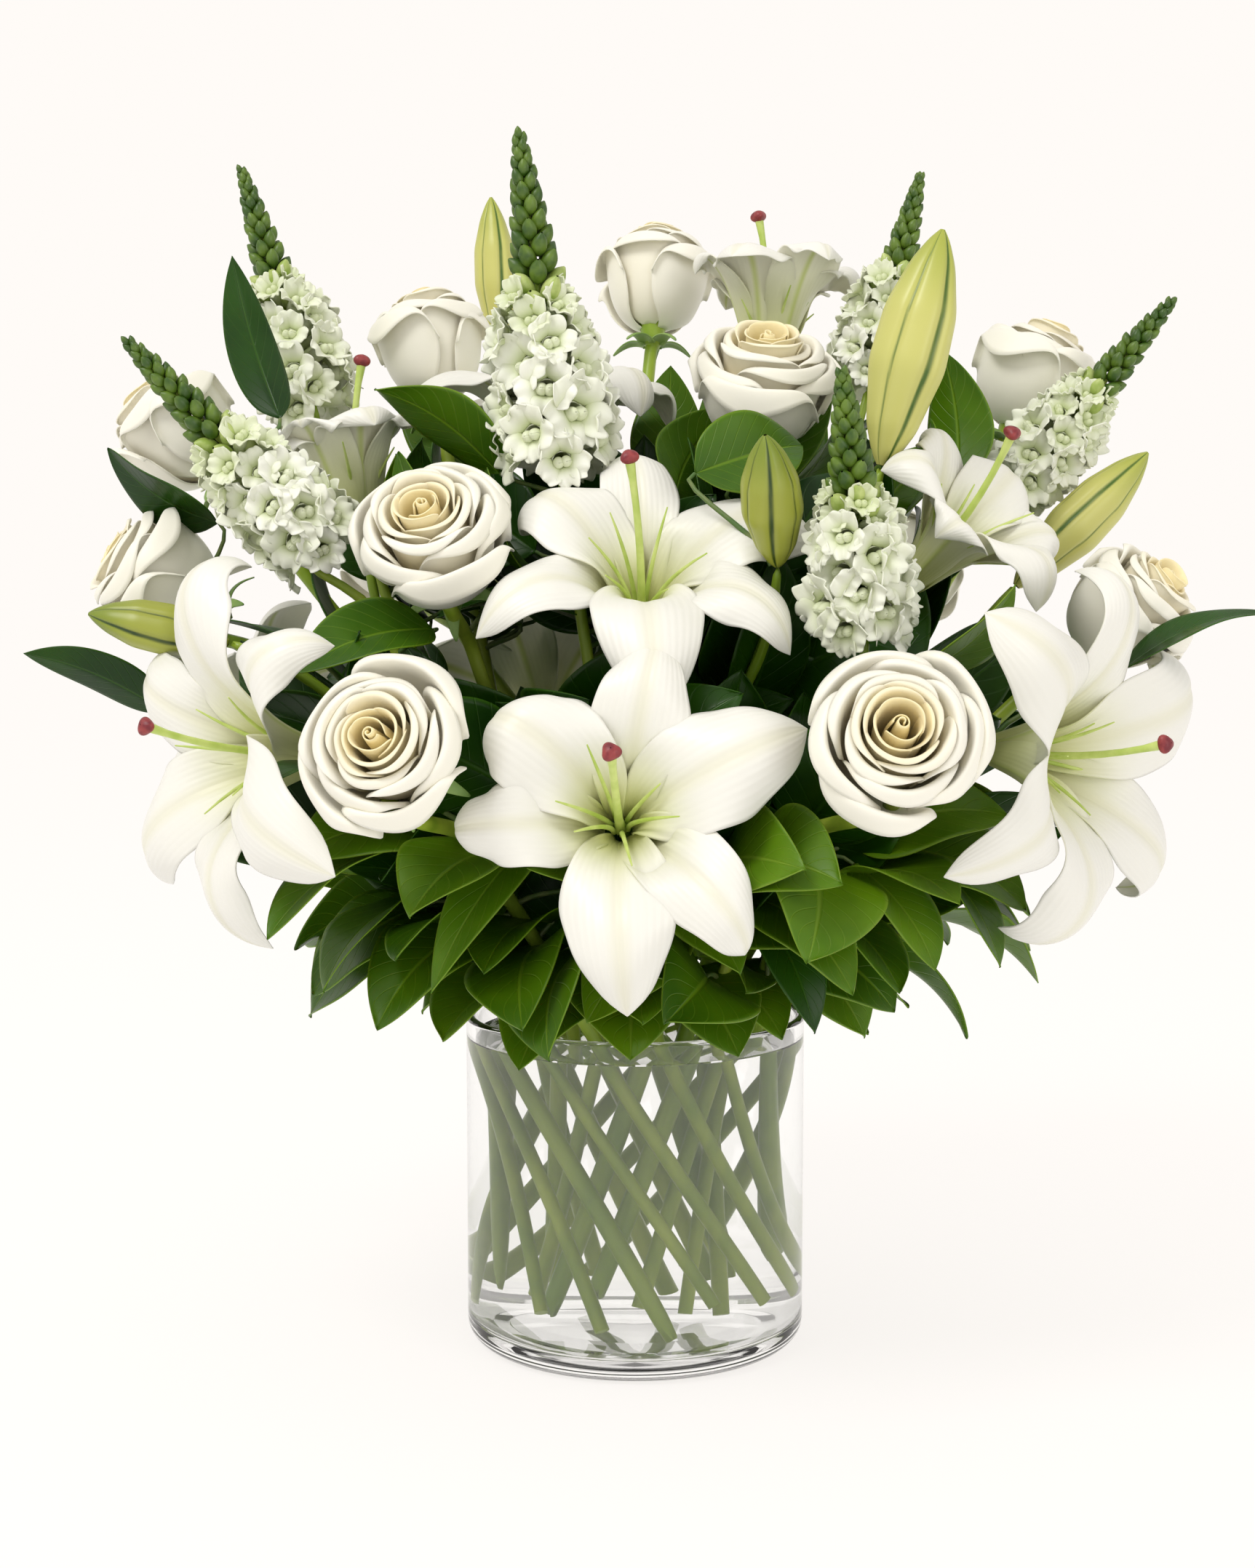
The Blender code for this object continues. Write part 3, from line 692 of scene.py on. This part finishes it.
golden_turn = 2.39996
rose_petals = 20
for number, node in enumerate(rose_nodes):
    foot_of_head, axis, radius = rose_heads[node]
    height = rose_height
    chance = np.random.default_rng(100 + number)
    at = facing(foot_of_head, axis, chance.uniform(0, 6))
    petals = [rose_core(radius, height)]
    for k in range(rose_petals):
        q = ((k + 0.3) / (rose_petals - 0.7)) ** 1.05
        turn_at = k * golden_turn + chance.uniform(-0.2, 0.2)
        petals.append(rose_petal(q, turn_at, radius, height, chance))
    grids = [placed(grid, at) for grid, marks in petals]
    marks = [marks for grid, marks in petals]
    head = sheets(f"{node}_petals", grids, [rose_flesh], 0.0005, 1, marks)
    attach(head, "root")
    leaves = [placed(sepal(k * 1.2566 + 0.3, radius, height), at) for k in range(5)]
    calyx = sheets(f"{node}_sepals", leaves, [sepal_green], 0.0006)
    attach(calyx, "root")


# A lily bud is the same six tepals still shut: a plump three-sided spindle with a groove between
# neighbours. It is yellow-green, greener along each groove and towards the foot.
def bud_flesh(name, body, groove, tip):
    """Waxy flesh, with a darker green along the grooves and a fresher one at the tip."""
    made, tree, shader = principled(name, body, 0.36, Subsurface_Radius=(1.0, 0.9, 0.4), **soft_flesh)
    across, along = marked(tree)
    uneven = ramp(tree, grained(tree, shader, 60, 0.25, 0.0006), 0.3, 0.55, 0.8, 1, "LINEAR")
    stripe = worked(tree, "MULTIPLY", ramp(tree, across, 0.45, 0.95), uneven)
    tipped = mixed(tree, ramp(tree, along, 0.55, 1.0), (*body, 1), (*tip, 1))
    tree.links.new(mixed(tree, stripe, tipped, (*groove, 1)), shader.inputs["Base Color"])
    return made


ripe_bud = bud_flesh("ripe_bud", (0.58, 0.57, 0.17), (0.055, 0.13, 0.006), (0.36, 0.40, 0.06))
young_bud = bud_flesh("young_bud", (0.33, 0.36, 0.05), (0.016, 0.048, 0.003), (0.18, 0.24, 0.02))


def spindle(length, radius, around=72, up=26, twist=0.35):
    """A shut bud on its own axis, from foot (z = 0) to tip, with the marks of its six grooves."""
    v = np.linspace(0, 1, up)[:, None]
    a = np.linspace(0, 2 * np.pi, around, endpoint=False)[None]
    heights = [0, 0.03, 0.16, 0.42, 0.66, 0.86, 0.97, 1]
    outline = np.interp(v, heights, [0.14, 0.30, 0.66, 1, 0.92, 0.56, 0.22, 0.06])
    turned = a - twist * v
    strong = np.exp(-((np.angle(np.exp(3j * turned)) / 3 / 0.15) ** 2))
    weak = np.exp(-((np.angle(np.exp(3j * (turned + np.pi / 3))) / 3 / 0.10) ** 2))
    r = radius * outline * (0.955 + 0.05 * np.cos(3 * turned) - 0.14 * strong - 0.07 * weak)
    grid = np.stack([r * np.cos(a), r * np.sin(a), length * v + 0 * a], 2)
    marks = np.stack([np.maximum(strong, 0.85 * weak), v + 0 * a], 2)
    return grid, marks


def long_axis(points):
    """(middle, unit vector along the longest way) of a cloud of points."""
    middle = (points.max(0) + points.min(0)) / 2
    return middle, np.linalg.svd(points - points.mean(0), full_matrices=False)[2][0]


for number, node in enumerate(nodes_named("bud")):
    points = shell_points(node)
    middle, axis = long_axis(points)
    axis = axis * np.sign(axis @ (middle - mouth))
    along = (points - points.mean(0)) @ axis
    foot = points[along < along.min() + 0.002].mean(0)
    length = along.max() - along.min()
    axis = unit(points[along > along.max() - 0.002].mean(0) - foot)
    off = points - foot
    radius = np.linalg.norm(off - np.outer(off @ axis, axis), axis=1).max()
    grid, marks = spindle(length, radius)
    flesh = ripe_bud if node in ("bud_right_tall", "bud_right", "bud_top") else young_bud
    at = facing(foot, axis, 0.5 + number)
    shut = sheets(f"{node}_shut", [placed(grid, at)], [flesh], 0, 1, [marks], closed=True)
    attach(shut, "root")
    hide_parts(node)


# A snapdragon is one upright stalk. Its lower half carries white two-lipped florets in a spiral, with
# ruffled lobes over a puffed throat, and its upper half green buds that get smaller to the tip.
downy = {"Subsurface_Radius": (1.0, 0.95, 0.7), **soft_flesh}
floret_white, tree, shader = principled("floret_flesh", (0.93, 0.94, 0.89), 0.5, **downy)
limed = mixed(tree, marked(tree)[1], (0.50, 0.60, 0.20, 1), (0.88, 0.885, 0.80, 1))
tree.links.new(limed, shader.inputs["Base Color"])
grained(tree, shader, 500, 0.2, 0.0004)
snap_bud_green = mottled("snap_bud_green", (0.030, 0.080, 0.004), (0.115, 0.195, 0.018), 130, 0.42)
snap_bud_lime = mottled("snap_bud_lime", (0.26, 0.37, 0.06), (0.52, 0.60, 0.22), 130, 0.42)


def lobe(size, tube, turn_at, spread, fold, chance, white):
    """One round ruffled lobe of a floret, springing from the rim of its tube and folding back."""
    v = np.linspace(0, 1, 8)[:, None]
    s = np.linspace(-1, 1, 9)[None]
    bend = 0.55 + fold * v
    step = 0.80 * size / 7
    out = 0.26 * size + np.vstack([[[0]], np.cumsum(np.sin(bend[:-1]) * step, 0)])
    rise = tube + np.vstack([[[0]], np.cumsum(np.cos(bend[:-1]) * step, 0)])
    half = spread * size * np.sin(np.pi * (0.14 + 0.66 * v)) ** 0.8
    wave = 0.11 * size * v**1.2 * np.sin(5.2 * s + chance.uniform(0, 6)) + 0.16 * size * v * s**2
    ahead = out + wave * -np.cos(bend) + 0 * s
    z = rise + wave * np.sin(bend) + 0.05 * size * np.sin(4 * v + chance.uniform(0, 6)) * abs(s)
    marks = np.stack([0 * z, white * np.clip(0.30 + 1.1 * v, 0, 1) + 0 * z], 2)
    return swung(ahead, s * half, z, turn_at), marks


# Each lobe's bearing, width and fold: two on the upper lip, three on the lower.
floret_lobes = (
    (1.02, 0.60, 1.2), (2.12, 0.60, 1.2),
    (-1.57, 0.46, 2.0), (-0.48, 0.56, 1.7), (-2.66, 0.56, 1.7),
)


def floret(size, tube, opened, chance, white):
    """The grids and marks of one floret: foot at the origin, mouth along Z, upper lip along Y."""
    v = np.linspace(0, 1, 6)[:, None]
    a = np.linspace(0, 2 * np.pi, 13)[None]
    tube_r = size * np.interp(v, [0, 0.3, 0.75, 1], [0.10, 0.22, 0.34, 0.30]) * (1 + 0.06 * np.cos(2 * a))
    hull = np.stack([tube_r * np.cos(a), tube_r * np.sin(a) * 0.9, tube * v + 0 * a], 2)
    parts = [(hull, np.stack([0 * tube_r, white * np.clip(0.1 + 0.7 * v, 0, 1) + 0 * a], 2))]
    puff_v = np.linspace(0.02, 0.98, 7)[:, None] * np.pi
    round_x, round_y = np.sin(puff_v) * np.cos(a), np.sin(puff_v) * np.sin(a)
    ball = [round_x * 0.19, round_y * 0.20 - 0.10, -0.30 * np.cos(puff_v) + 0 * a]
    for aside in (-0.13, 0.13):
        puff = (np.stack(ball, 2) + (aside, 0, 0)) * size + (0, 0, tube + 0.10 * size)
        parts.append((puff, np.stack([0 * ball[0], white * (0.62 + 0 * ball[0])], 2)))
    for turn_at, spread, fold in floret_lobes:
        turned = turn_at + chance.uniform(-0.12, 0.12)
        width = spread * (0.55 + 0.45 * opened)
        parts.append(lobe(size, tube, turned, width, fold * opened, chance, white))
    return parts


def small_bud(length, radius):
    """A closed snapdragon bud: an egg with a blunt tip."""
    v = np.linspace(0, 1, 7)[:, None]
    a = np.linspace(0, 2 * np.pi, 8, endpoint=False)[None]
    r = radius * np.interp(v, [0, 0.1, 0.4, 0.7, 0.93, 1], [0.35, 0.75, 1.02, 0.86, 0.42, 0.12])
    return np.stack([r * np.cos(a), r * np.sin(a) + 0.10 * length * v**2, length * v + 0 * a], 2)


def read_spike(node):
    """(foot of the spike, axis, length, radius) of a CAD snapdragon."""
    points = shell_points(node)
    foot = points[points[:, 2].argmin()]
    far = np.argsort(-np.linalg.norm(points - foot, axis=1))[:8]
    tip = points[far].mean(0)
    gap = np.linalg.norm(points - tip, axis=1)
    axis = unit(tip - points[(gap > 0.015) & (gap < 0.075)].mean(0))
    along = (tip - points) @ axis
    off = np.linalg.norm((points - tip) + np.outer(along, axis), axis=1)
    near = (along < 0.16) & (off < 0.045)
    widest = near & (off > 0.97 * off[near].max())
    length = along[widest].mean() / 0.72
    return tip - axis * length, axis, length, off[widest].mean()


def slanted(bearing, tilt):
    """The way that points to a bearing and is tilted up from level."""
    level = np.array([math.cos(bearing), math.sin(bearing), 0])
    return level * math.cos(tilt) + np.array([0, 0, math.sin(tilt)])


floret_count = 34
bud_count = 58
lime_buds = 9
for number, node in enumerate(nodes_named("snapdragon")):
    foot, axis, length, radius = read_spike(node)
    chance = np.random.default_rng(300 + number)
    origin, rows = facing(foot, axis)
    line = centreline(node, foot[2] - 0.004)
    line = smoothed(np.vstack([line, foot, foot + axis * length * 0.5, foot + axis * length * 0.97]), 3)
    girth = np.interp(np.linspace(0, 1, len(line)), [0, 0.75, 1], [0.0028, 0.0026, 0.0010])
    cane = stalk(f"{node}_stalk", [(line, girth)], cane_green)
    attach(cane, "root")
    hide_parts(node)

    grids, marks = [], []
    for k in range(floret_count):
        share = 0.03 + 0.45 * (k / (floret_count - 1)) ** 0.95
        angle = k * golden_turn + chance.uniform(-0.15, 0.15)
        size = np.interp(share, [0, 0.12, 0.35, 0.5], [0.50, 0.56, 0.50, 0.30])
        size = radius * size * chance.uniform(0.85, 1.15)
        tube = np.interp(share, [0, 0.12, 0.35, 0.5], [0.60, 0.72, 0.64, 0.42])
        tube = radius * tube * chance.uniform(0.75, 1.12)
        outward = slanted(angle, np.interp(share, [0, 0.25, 0.5], [-0.10, 0.20, 0.62]))
        start = np.array([0, 0, length * share]) + outward * radius * 0.04
        mouth_at = outward @ rows
        up = unit(axis - mouth_at * (axis @ mouth_at))
        sway = chance.normal(0, 0.35)
        up = up * math.cos(sway) + np.cross(mouth_at, up) * math.sin(sway)
        side = np.cross(up, mouth_at)
        floret_at = (origin + start @ rows, np.array([side, up, mouth_at]))
        white = np.interp(share, [0, 0.3, 0.5], [0.98, 0.92, 0.55]) * chance.uniform(0.78, 1.02)
        opened = np.interp(share, [0, 0.3, 0.5], [1.0, 0.9, 0.4]) * chance.uniform(0.7, 1.05)
        for grid, mark in floret(size, tube, opened, chance, white):
            grids.append(placed(grid, floret_at))
            marks.append(mark)
    florets = sheets(f"{node}_florets", grids, [floret_white], 0.0004, 1, marks)
    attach(florets, "root")

    rows_of_buds = (("lime", snap_bud_lime, 0, lime_buds), ("green", snap_bud_green, lime_buds, bud_count))
    for colour, material, first, last in rows_of_buds:
        grids = []
        for k in range(first, last):
            share = 0.46 + 0.52 * (k / (bud_count - 1)) ** 0.86
            angle = k * golden_turn + 1.1
            thick = radius * np.interp(share, [0.46, 0.6, 0.85, 1], [0.22, 0.165, 0.115, 0.07])
            stand = radius * np.interp(share, [0.46, 0.6, 0.85, 1], [0.16, 0.13, 0.08, 0.02])
            start = np.array([math.cos(angle) * stand, math.sin(angle) * stand, length * share - thick])
            way = slanted(angle, np.interp(share, [0.46, 0.7, 1], [0.55, 0.85, 1.25])) @ rows
            grids.append(placed(small_bud(thick * 2.7, thick), facing(origin + start @ rows, way)))
        buds = sheets(f"{node}_{colour}_buds", grids, [material], closed=True)
        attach(buds, "root")


# The greenery is cut salal and ruscus: leathery pointed leaves with a folded midrib, arched veins and a
# paler edge. They stand on thin twigs, close every gap between the flowers, and fall over the rim.
# Shader group: masks of a leaf's midrib, its side veins and its pale edge.
leaf_marks, given = new_group("leaf_marks", {"Vein Pairs": "Float"}, {"Ribs": "Float", "Edge": "Float"})
across, along = marked(leaf_marks)
away = worked(leaf_marks, "ABSOLUTE", worked(leaf_marks, "SUBTRACT", across, 0.5))
slant = worked(leaf_marks, "SUBTRACT", along, worked(leaf_marks, "MULTIPLY", away, 0.55))
wave = worked(leaf_marks, "SINE", worked(leaf_marks, "MULTIPLY", slant, given["Vein Pairs"]))
side_veins = ramp(leaf_marks, wave, 0.93, 1, 0, 0.45)
ribs = worked(leaf_marks, "MAXIMUM", ramp(leaf_marks, away, 0.034, 0.006), side_veins)
node_of(leaf_marks, "NodeGroupOutput", {"Ribs": ribs, "Edge": ramp(leaf_marks, away, 0.465, 0.5)})
leathery = {"Subsurface_Weight": 0.06, "Subsurface_Scale": 0.002, "Specular_IOR_Level": 0.28}


def leaf_skin(name, dark, light, vein, roughness):
    """Waxy leaf skin in two drifting greens, with paler veins and edge."""
    made, tree, shader = principled(name, dark, roughness, **leathery)
    marks = node_of(tree, "ShaderNodeGroup", {"Vein Pairs": 56}, node_tree=leaf_marks).outputs
    green = mottling(tree, dark, light, 22)["Colour"]
    veined = mixed(tree, worked(tree, "MULTIPLY", marks["Ribs"], 0.45), green, (*vein, 1))
    edged = mixed(tree, worked(tree, "MULTIPLY", marks["Edge"], 0.6), veined, (*vein, 1))
    tree.links.new(edged, shader.inputs["Base Color"])
    relieved(tree, shader, marks["Ribs"], 0.5, 0.0007, invert=True)
    return made


# The darkest skin is the same leaf skin in a darker green. It goes on the leaves inside the bunch, in its gaps
# and behind it: the salal's own dark green with painted shade between the flowers.
leaf_skins = {
    "dark_and_shaded": leaf_skin("deep_leaf", (0.006, 0.034, 0.001), (0.016, 0.068, 0.001), (0.04, 0.12, 0.006), 0.32),
    "fresh": leaf_skin("fresh_leaf", (0.030, 0.092, 0.001), (0.065, 0.155, 0.001), (0.18, 0.31, 0.014), 0.38),
    "bright": leaf_skin("bright_leaf", (0.058, 0.145, 0.001), (0.110, 0.225, 0.002), (0.20, 0.32, 0.025), 0.42),
}


def leaf_blade(foot, way, face, length, half_width, chance, arch=0.12, point=0.85):
    """A leaf's grid: from foot along way, its upper side turned to face."""
    v = np.linspace(0, 1, 17)[:, None]
    s = np.linspace(-1, 1, 9)[None]
    way = unit(way)
    side = unit(np.cross(way, face))
    up = np.cross(side, way)
    shape = v**0.55 * (1 - v) ** point
    half = half_width * shape / (0.55 / (0.55 + point)) ** 0.55 / (point / (0.55 + point)) ** point
    bend = chance.uniform(-0.05, 0.05) * length
    x = s * half + bend * v**2
    y = length * v + 0 * s
    fold = chance.uniform(0.14, 0.34)
    wave = 0.05 * half_width * np.sin(9 * v + chance.uniform(0, 6)) * abs(s) ** 2 * np.sign(s + 0.01)
    rise = arch * length * np.sin(np.pi * v * 0.9) - 0.06 * length * v**3
    z = fold * abs(s) * half + rise + wave
    return foot + x[..., None] * side + y[..., None] * way + z[..., None] * up


def flower_points():
    """Every corner point of the petals, buds and florets made so far."""
    found = []
    endings = ("_tepals", "_petals", "_shut", "_florets", "_buds")
    for piece in bpy.data.objects:
        if piece.type == "MESH" and piece.name.endswith(endings):
            spots = np.empty(len(piece.data.vertices) * 3, np.float32)
            piece.data.vertices.foreach_get("co", spots)
            found.append(spots.reshape(-1, 3))
    return np.vstack(found)


room_cell = 0.006


def cells_of(points):
    """The cells of space that the points stand in."""
    return [tuple(spot) for spot in (points.reshape(-1, 3) / room_cell).round().astype(int)]


def crowded(grid, taken, slack=0):
    """Whether more of a leaf's points than the slack stand in cells that are taken."""
    return sum(cell in taken for cell in cells_of(grid)) > slack


blooming = flower_points()
flower_room = set(cells_of(blooming))
heart_of_bunch = mouth + np.array([0, 0, 0.06])
front_eye = np.array([0, -1.0, 0.33])


def sight_cells(points, eye, fineness):
    """The direction cell of each point as seen from an eye, and how far off it is."""
    off = points.reshape(-1, 3) - eye
    gone = np.linalg.norm(off, axis=1)
    cells = np.stack([np.arctan2(off[:, 1], off[:, 0]), np.arcsin(off[:, 2] / gone)], 1) / fineness
    return cells.round().astype(int), gone


out_cell, front_cell = 0.05, 0.006
shown_out, shown_front = {}, {}
for cell, gone in zip(*sight_cells(blooming, heart_of_bunch, out_cell)):
    for i in (-1, 0, 1):
        for j in (-1, 0, 1):
            key = (cell[0] + i, cell[1] + j)
            shown_out[key] = max(shown_out.get(key, 0), gone)
for cell, gone in zip(*sight_cells(blooming, front_eye, front_cell)):
    key = tuple(cell)
    shown_front[key] = min(shown_front.get(key, 9), gone)


def hides_a_flower(grid, shown_share):
    """Whether a leaf would stand before a flower, seen from outside the bunch or from its front."""
    cells, gone = sight_cells(grid, heart_of_bunch, out_cell)
    outside = sum(far > shown_out.get(tuple(cell), 9) - 0.002 for cell, far in zip(cells, gone))
    cells, gone = sight_cells(grid, front_eye, front_cell)
    before = sum(near < shown_front.get(tuple(cell), 0) for cell, near in zip(cells, gone))
    return outside > shown_share * len(gone) or before > 0.06 * len(gone)


def cane_spots():
    """Points along every cane above the rim, for the leaves' stalks to spring from."""
    found = []
    for piece in bpy.data.objects:
        if piece.type == "CURVE" and piece.name.endswith(("_cane", "_stalk")):
            found += [tuple(knot.co[:3]) for spline in piece.data.splines for knot in spline.points]
    for node in nodes_named("lily_stem"):
        found += [tuple(point) for point in shell_points(node)]
    found = np.array(found)
    return found[found[:, 2] > vase_height]


springing = cane_spots()
twigs = []


def twig_from(foot, way):
    """A thin stalk from a leaf's foot back to the nearest cane below it."""
    gap = np.linalg.norm(springing - foot, axis=1) + 2 * np.clip(springing[:, 2] - foot[2] + 0.01, 0, 1)
    end = springing[gap.argmin()]
    leave = foot - unit(way) * 0.3 * gap.min()
    course = np.array([end, end + (0, 0, 0.2 * gap.min()), leave, foot])
    twigs.append((bezier(course, np.linspace(0, 1, 8)), np.linspace(0.0013, 0.0008, 8)))


# Leaves that the imported model holds, each remade in its own place with a blade's real outline.
# The back, side and darkest collar leaves take the darkest skin, which holds painted shade over their own dark
# green.
leaf_skin_of = {
    "dark_and_shaded": ("far_left", "far_right", "left", "spear", "collar_dark", "back_right", "back_left"),
    "bright": ("right", "collar_left", "collar_long", "collar_front", "collar_round", "collar_right"),
}
leaf_room = set()
home = mouth + np.array([0, 0, 0.05])
for number, node in enumerate(nodes_named("leaf")):
    chance = np.random.default_rng(500 + number)
    points = shell_points(node)
    spread = points - points.mean(0)
    ways = np.linalg.svd(spread, full_matrices=False)[2]
    way, face = ways[0], ways[2]
    along = spread @ way
    ends = [points[along < along.min() + 0.004].mean(0), points[along > along.max() - 0.004].mean(0)]
    ends.sort(key=lambda end: np.linalg.norm(end - home))
    foot, tip = ends
    length = np.linalg.norm(tip - foot)
    half_width = np.ptp(spread @ ways[1]) / 2
    outward = (points.mean(0) - home) * (1, 1, 0.3) + np.array([0, -0.02, 0.05])
    face = face * np.sign(face @ outward)
    place = node.removeprefix("leaf_")
    skin = next((skin for skin, places in leaf_skin_of.items() if place in places), "fresh")
    grid = leaf_blade(foot, tip - foot, face, length, half_width, chance, 0.09)
    blade = sheets(f"{node}_blade", [grid], [leaf_skins[skin]], 0.0005)
    leaf_room.update(cells_of(grid))
    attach(blade, "root")
    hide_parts(node)
    twig_from(foot, tip - foot)

# The greenery between the flowers: every layer is (how many, skin, foot's reach from the axis, foot's
# height, tilt above level in degrees, length, half width).
# The heart, inner and front-gap layers take the darkest skin, painted shade between the flowers over the
# leaves' own dark green.
layers = (
    ("heart_leaves", 110, "dark_and_shaded", (0.000, 0.075), (0.170, 0.330), (-10, 80), (0.060, 0.090), (0.020, 0.030)),
    ("rim_leaves_low", 36, "bright", (0.035, 0.066), (0.160, 0.184), (-45, 0), (0.052, 0.072), (0.021, 0.029)),
    ("rim_leaves_high", 36, "fresh", (0.050, 0.100), (0.175, 0.208), (-38, 12), (0.055, 0.075), (0.020, 0.028)),
    ("skirt_leaves", 36, "bright", (0.075, 0.128), (0.190, 0.235), (-38, 15), (0.052, 0.070), (0.019, 0.027)),
    ("inner_leaves_low", 70, "dark_and_shaded", (0.040, 0.130), (0.190, 0.280), (0, 60), (0.060, 0.090), (0.017, 0.026)),
    ("inner_leaves_high", 70, "dark_and_shaded", (0.020, 0.120), (0.250, 0.350), (25, 80), (0.060, 0.090), (0.016, 0.025)),
    ("front_gap_leaves", 34, "dark_and_shaded", (0.010, 0.095), (0.200, 0.330), (15, 80), (0.060, 0.090), (0.022, 0.031)),
    ("top_leaves", 20, "fresh", (0.010, 0.110), (0.310, 0.385), (35, 85), (0.055, 0.080), (0.014, 0.022)),
)
low_limit, high_limit = (np.array(side) for side in cad_box)
most_tries = 2500
for number, (name, count, skin, reach, heights, tilts, lengths, widths) in enumerate(layers):
    chance = np.random.default_rng(700 + number)
    in_front = name == "front_gap_leaves"
    over_rim = name.startswith(("rim", "skirt"))
    slack = 18 if in_front or name == "heart_leaves" else 3
    grids = []
    tries = 0
    while len(grids) < count and tries < most_tries:
        tries += 1
        bearing = chance.uniform(0, 2 * math.pi)
        if in_front:
            bearing = chance.uniform(-math.pi, 0)
        far = chance.uniform(*reach)
        foot = np.array([far * math.cos(bearing), far * math.sin(bearing), chance.uniform(*heights)])
        swing = bearing + chance.normal(0, 0.35)
        way = slanted(swing, math.radians(chance.uniform(*tilts)))
        outward = slanted(bearing, 0)
        face = np.array([0, 0, 0.8]) + outward * chance.uniform(0.6, 1.9) + chance.normal(0, 0.3, 3)
        if in_front:
            face = np.array([0, -1.6, 0.5]) + chance.normal(0, 0.4, 3)
        grid = leaf_blade(foot, way, face, chance.uniform(*lengths), chance.uniform(*widths), chance)
        if (grid < low_limit).any() or (grid > high_limit).any():
            continue
        out, up = np.linalg.norm(grid[..., :2], axis=2), grid[..., 2]
        at_wall = (out > vase_radius - 0.008) & (out < vase_radius + 0.004)
        if (at_wall & (up < vase_height + 0.002)).any():
            continue
        if over_rim and (out.max() > 0.188 or up.min() < vase_height - 0.006):
            continue
        coarse = grid[::2, ::2]
        if crowded(coarse, flower_room) or crowded(coarse, leaf_room, slack):
            continue
        if hides_a_flower(coarse, 9 if in_front else 0.12):
            continue
        grids.append(grid)
        leaf_room.update(cells_of(grid))
        twig_from(foot, way)
    greens = sheets(name, grids, [leaf_skins[skin]], 0.0005)
    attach(greens, "root")
twig_bark = mottled("twig_bark", (0.07, 0.15, 0.03), (0.16, 0.20, 0.06), 120, 0.5)
twig_piece = stalk("leaf_twigs", twigs, twig_bark, 2)
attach(twig_piece, "root")


# The studio: a pale sweep of floor under soft, even light from all round, with a large soft light high on
# the left and a weak one low on the right. The camera looks slightly down at the front.
def studio_light(name, place, size, watts, colour):
    """A soft round light that faces the bunch and isn't seen itself."""
    data = bpy.data.lights.new(name, "AREA")
    data.shape = "DISK"
    data.size = size
    data.energy = watts
    data.color = colour
    lamp = stood(name, data)
    lamp.location = place
    lamp.rotation_euler = (Vector((0, 0, 0.28)) - Vector(place)).to_track_quat("-Z", "Y").to_euler()
    lamp.visible_transmission = False
    lamp.visible_camera = False


studio_light("key_light", (-1.0, -1.1, 2.0), 0.9, 22, (1, 0.985, 0.955))
studio_light("fill_light", (1.3, -1.7, 0.7), 1.2, 7, (1, 0.99, 0.97))

room_light = 0.82
air_colour = (1.0, 0.965, 0.93, 1)
world = bpy.data.worlds.new("studio_air")
bpy.context.scene.world = world
world.use_nodes = True
air = world.node_tree
sky = air.nodes["Background"]
sky.inputs["Color"].default_value = air_colour
path = node_of(air, "ShaderNodeLightPath").outputs
seen = worked(air, "MAXIMUM", path["Is Camera Ray"], path["Is Transmission Ray"])
air.links.new(ramp(air, seen, 0, 1, room_light, 1, "LINEAR"), sky.inputs["Strength"])

# The floor gives back what the dimmed air doesn't, so that it meets the air in one even tone.
floor_tone = 0.20
floor_glow = {"Emission_Color": air_colour, "Emission_Strength": 1 - floor_tone * room_light}
floor_paint = principled("floor_paint", [floor_tone] * 3, 1.0, Specular_IOR_Level=0.0, **floor_glow)[0]
floor_mesh = bpy.data.meshes.new("floor")
floor_mesh.from_pydata([(-30, -30, 0), (30, -30, 0), (30, 30, 0), (-30, 30, 0)], [], [(0, 1, 2, 3)])
floor_mesh.materials.append(floor_paint)
floor = stood("floor", floor_mesh)
floor.location = (0, 0, -0.0002)

lens = bpy.data.cameras.new("camera")
lens.sensor_width = 36
lens.lens = 52.87
camera = stood("camera", lens)
camera.location = (-0.0034, -1.0138, 0.3345)
camera.rotation_euler = (math.pi / 2 - 0.086, 0, 0)
bpy.context.scene.camera = camera
bpy.context.scene.view_settings.view_transform = "Standard"
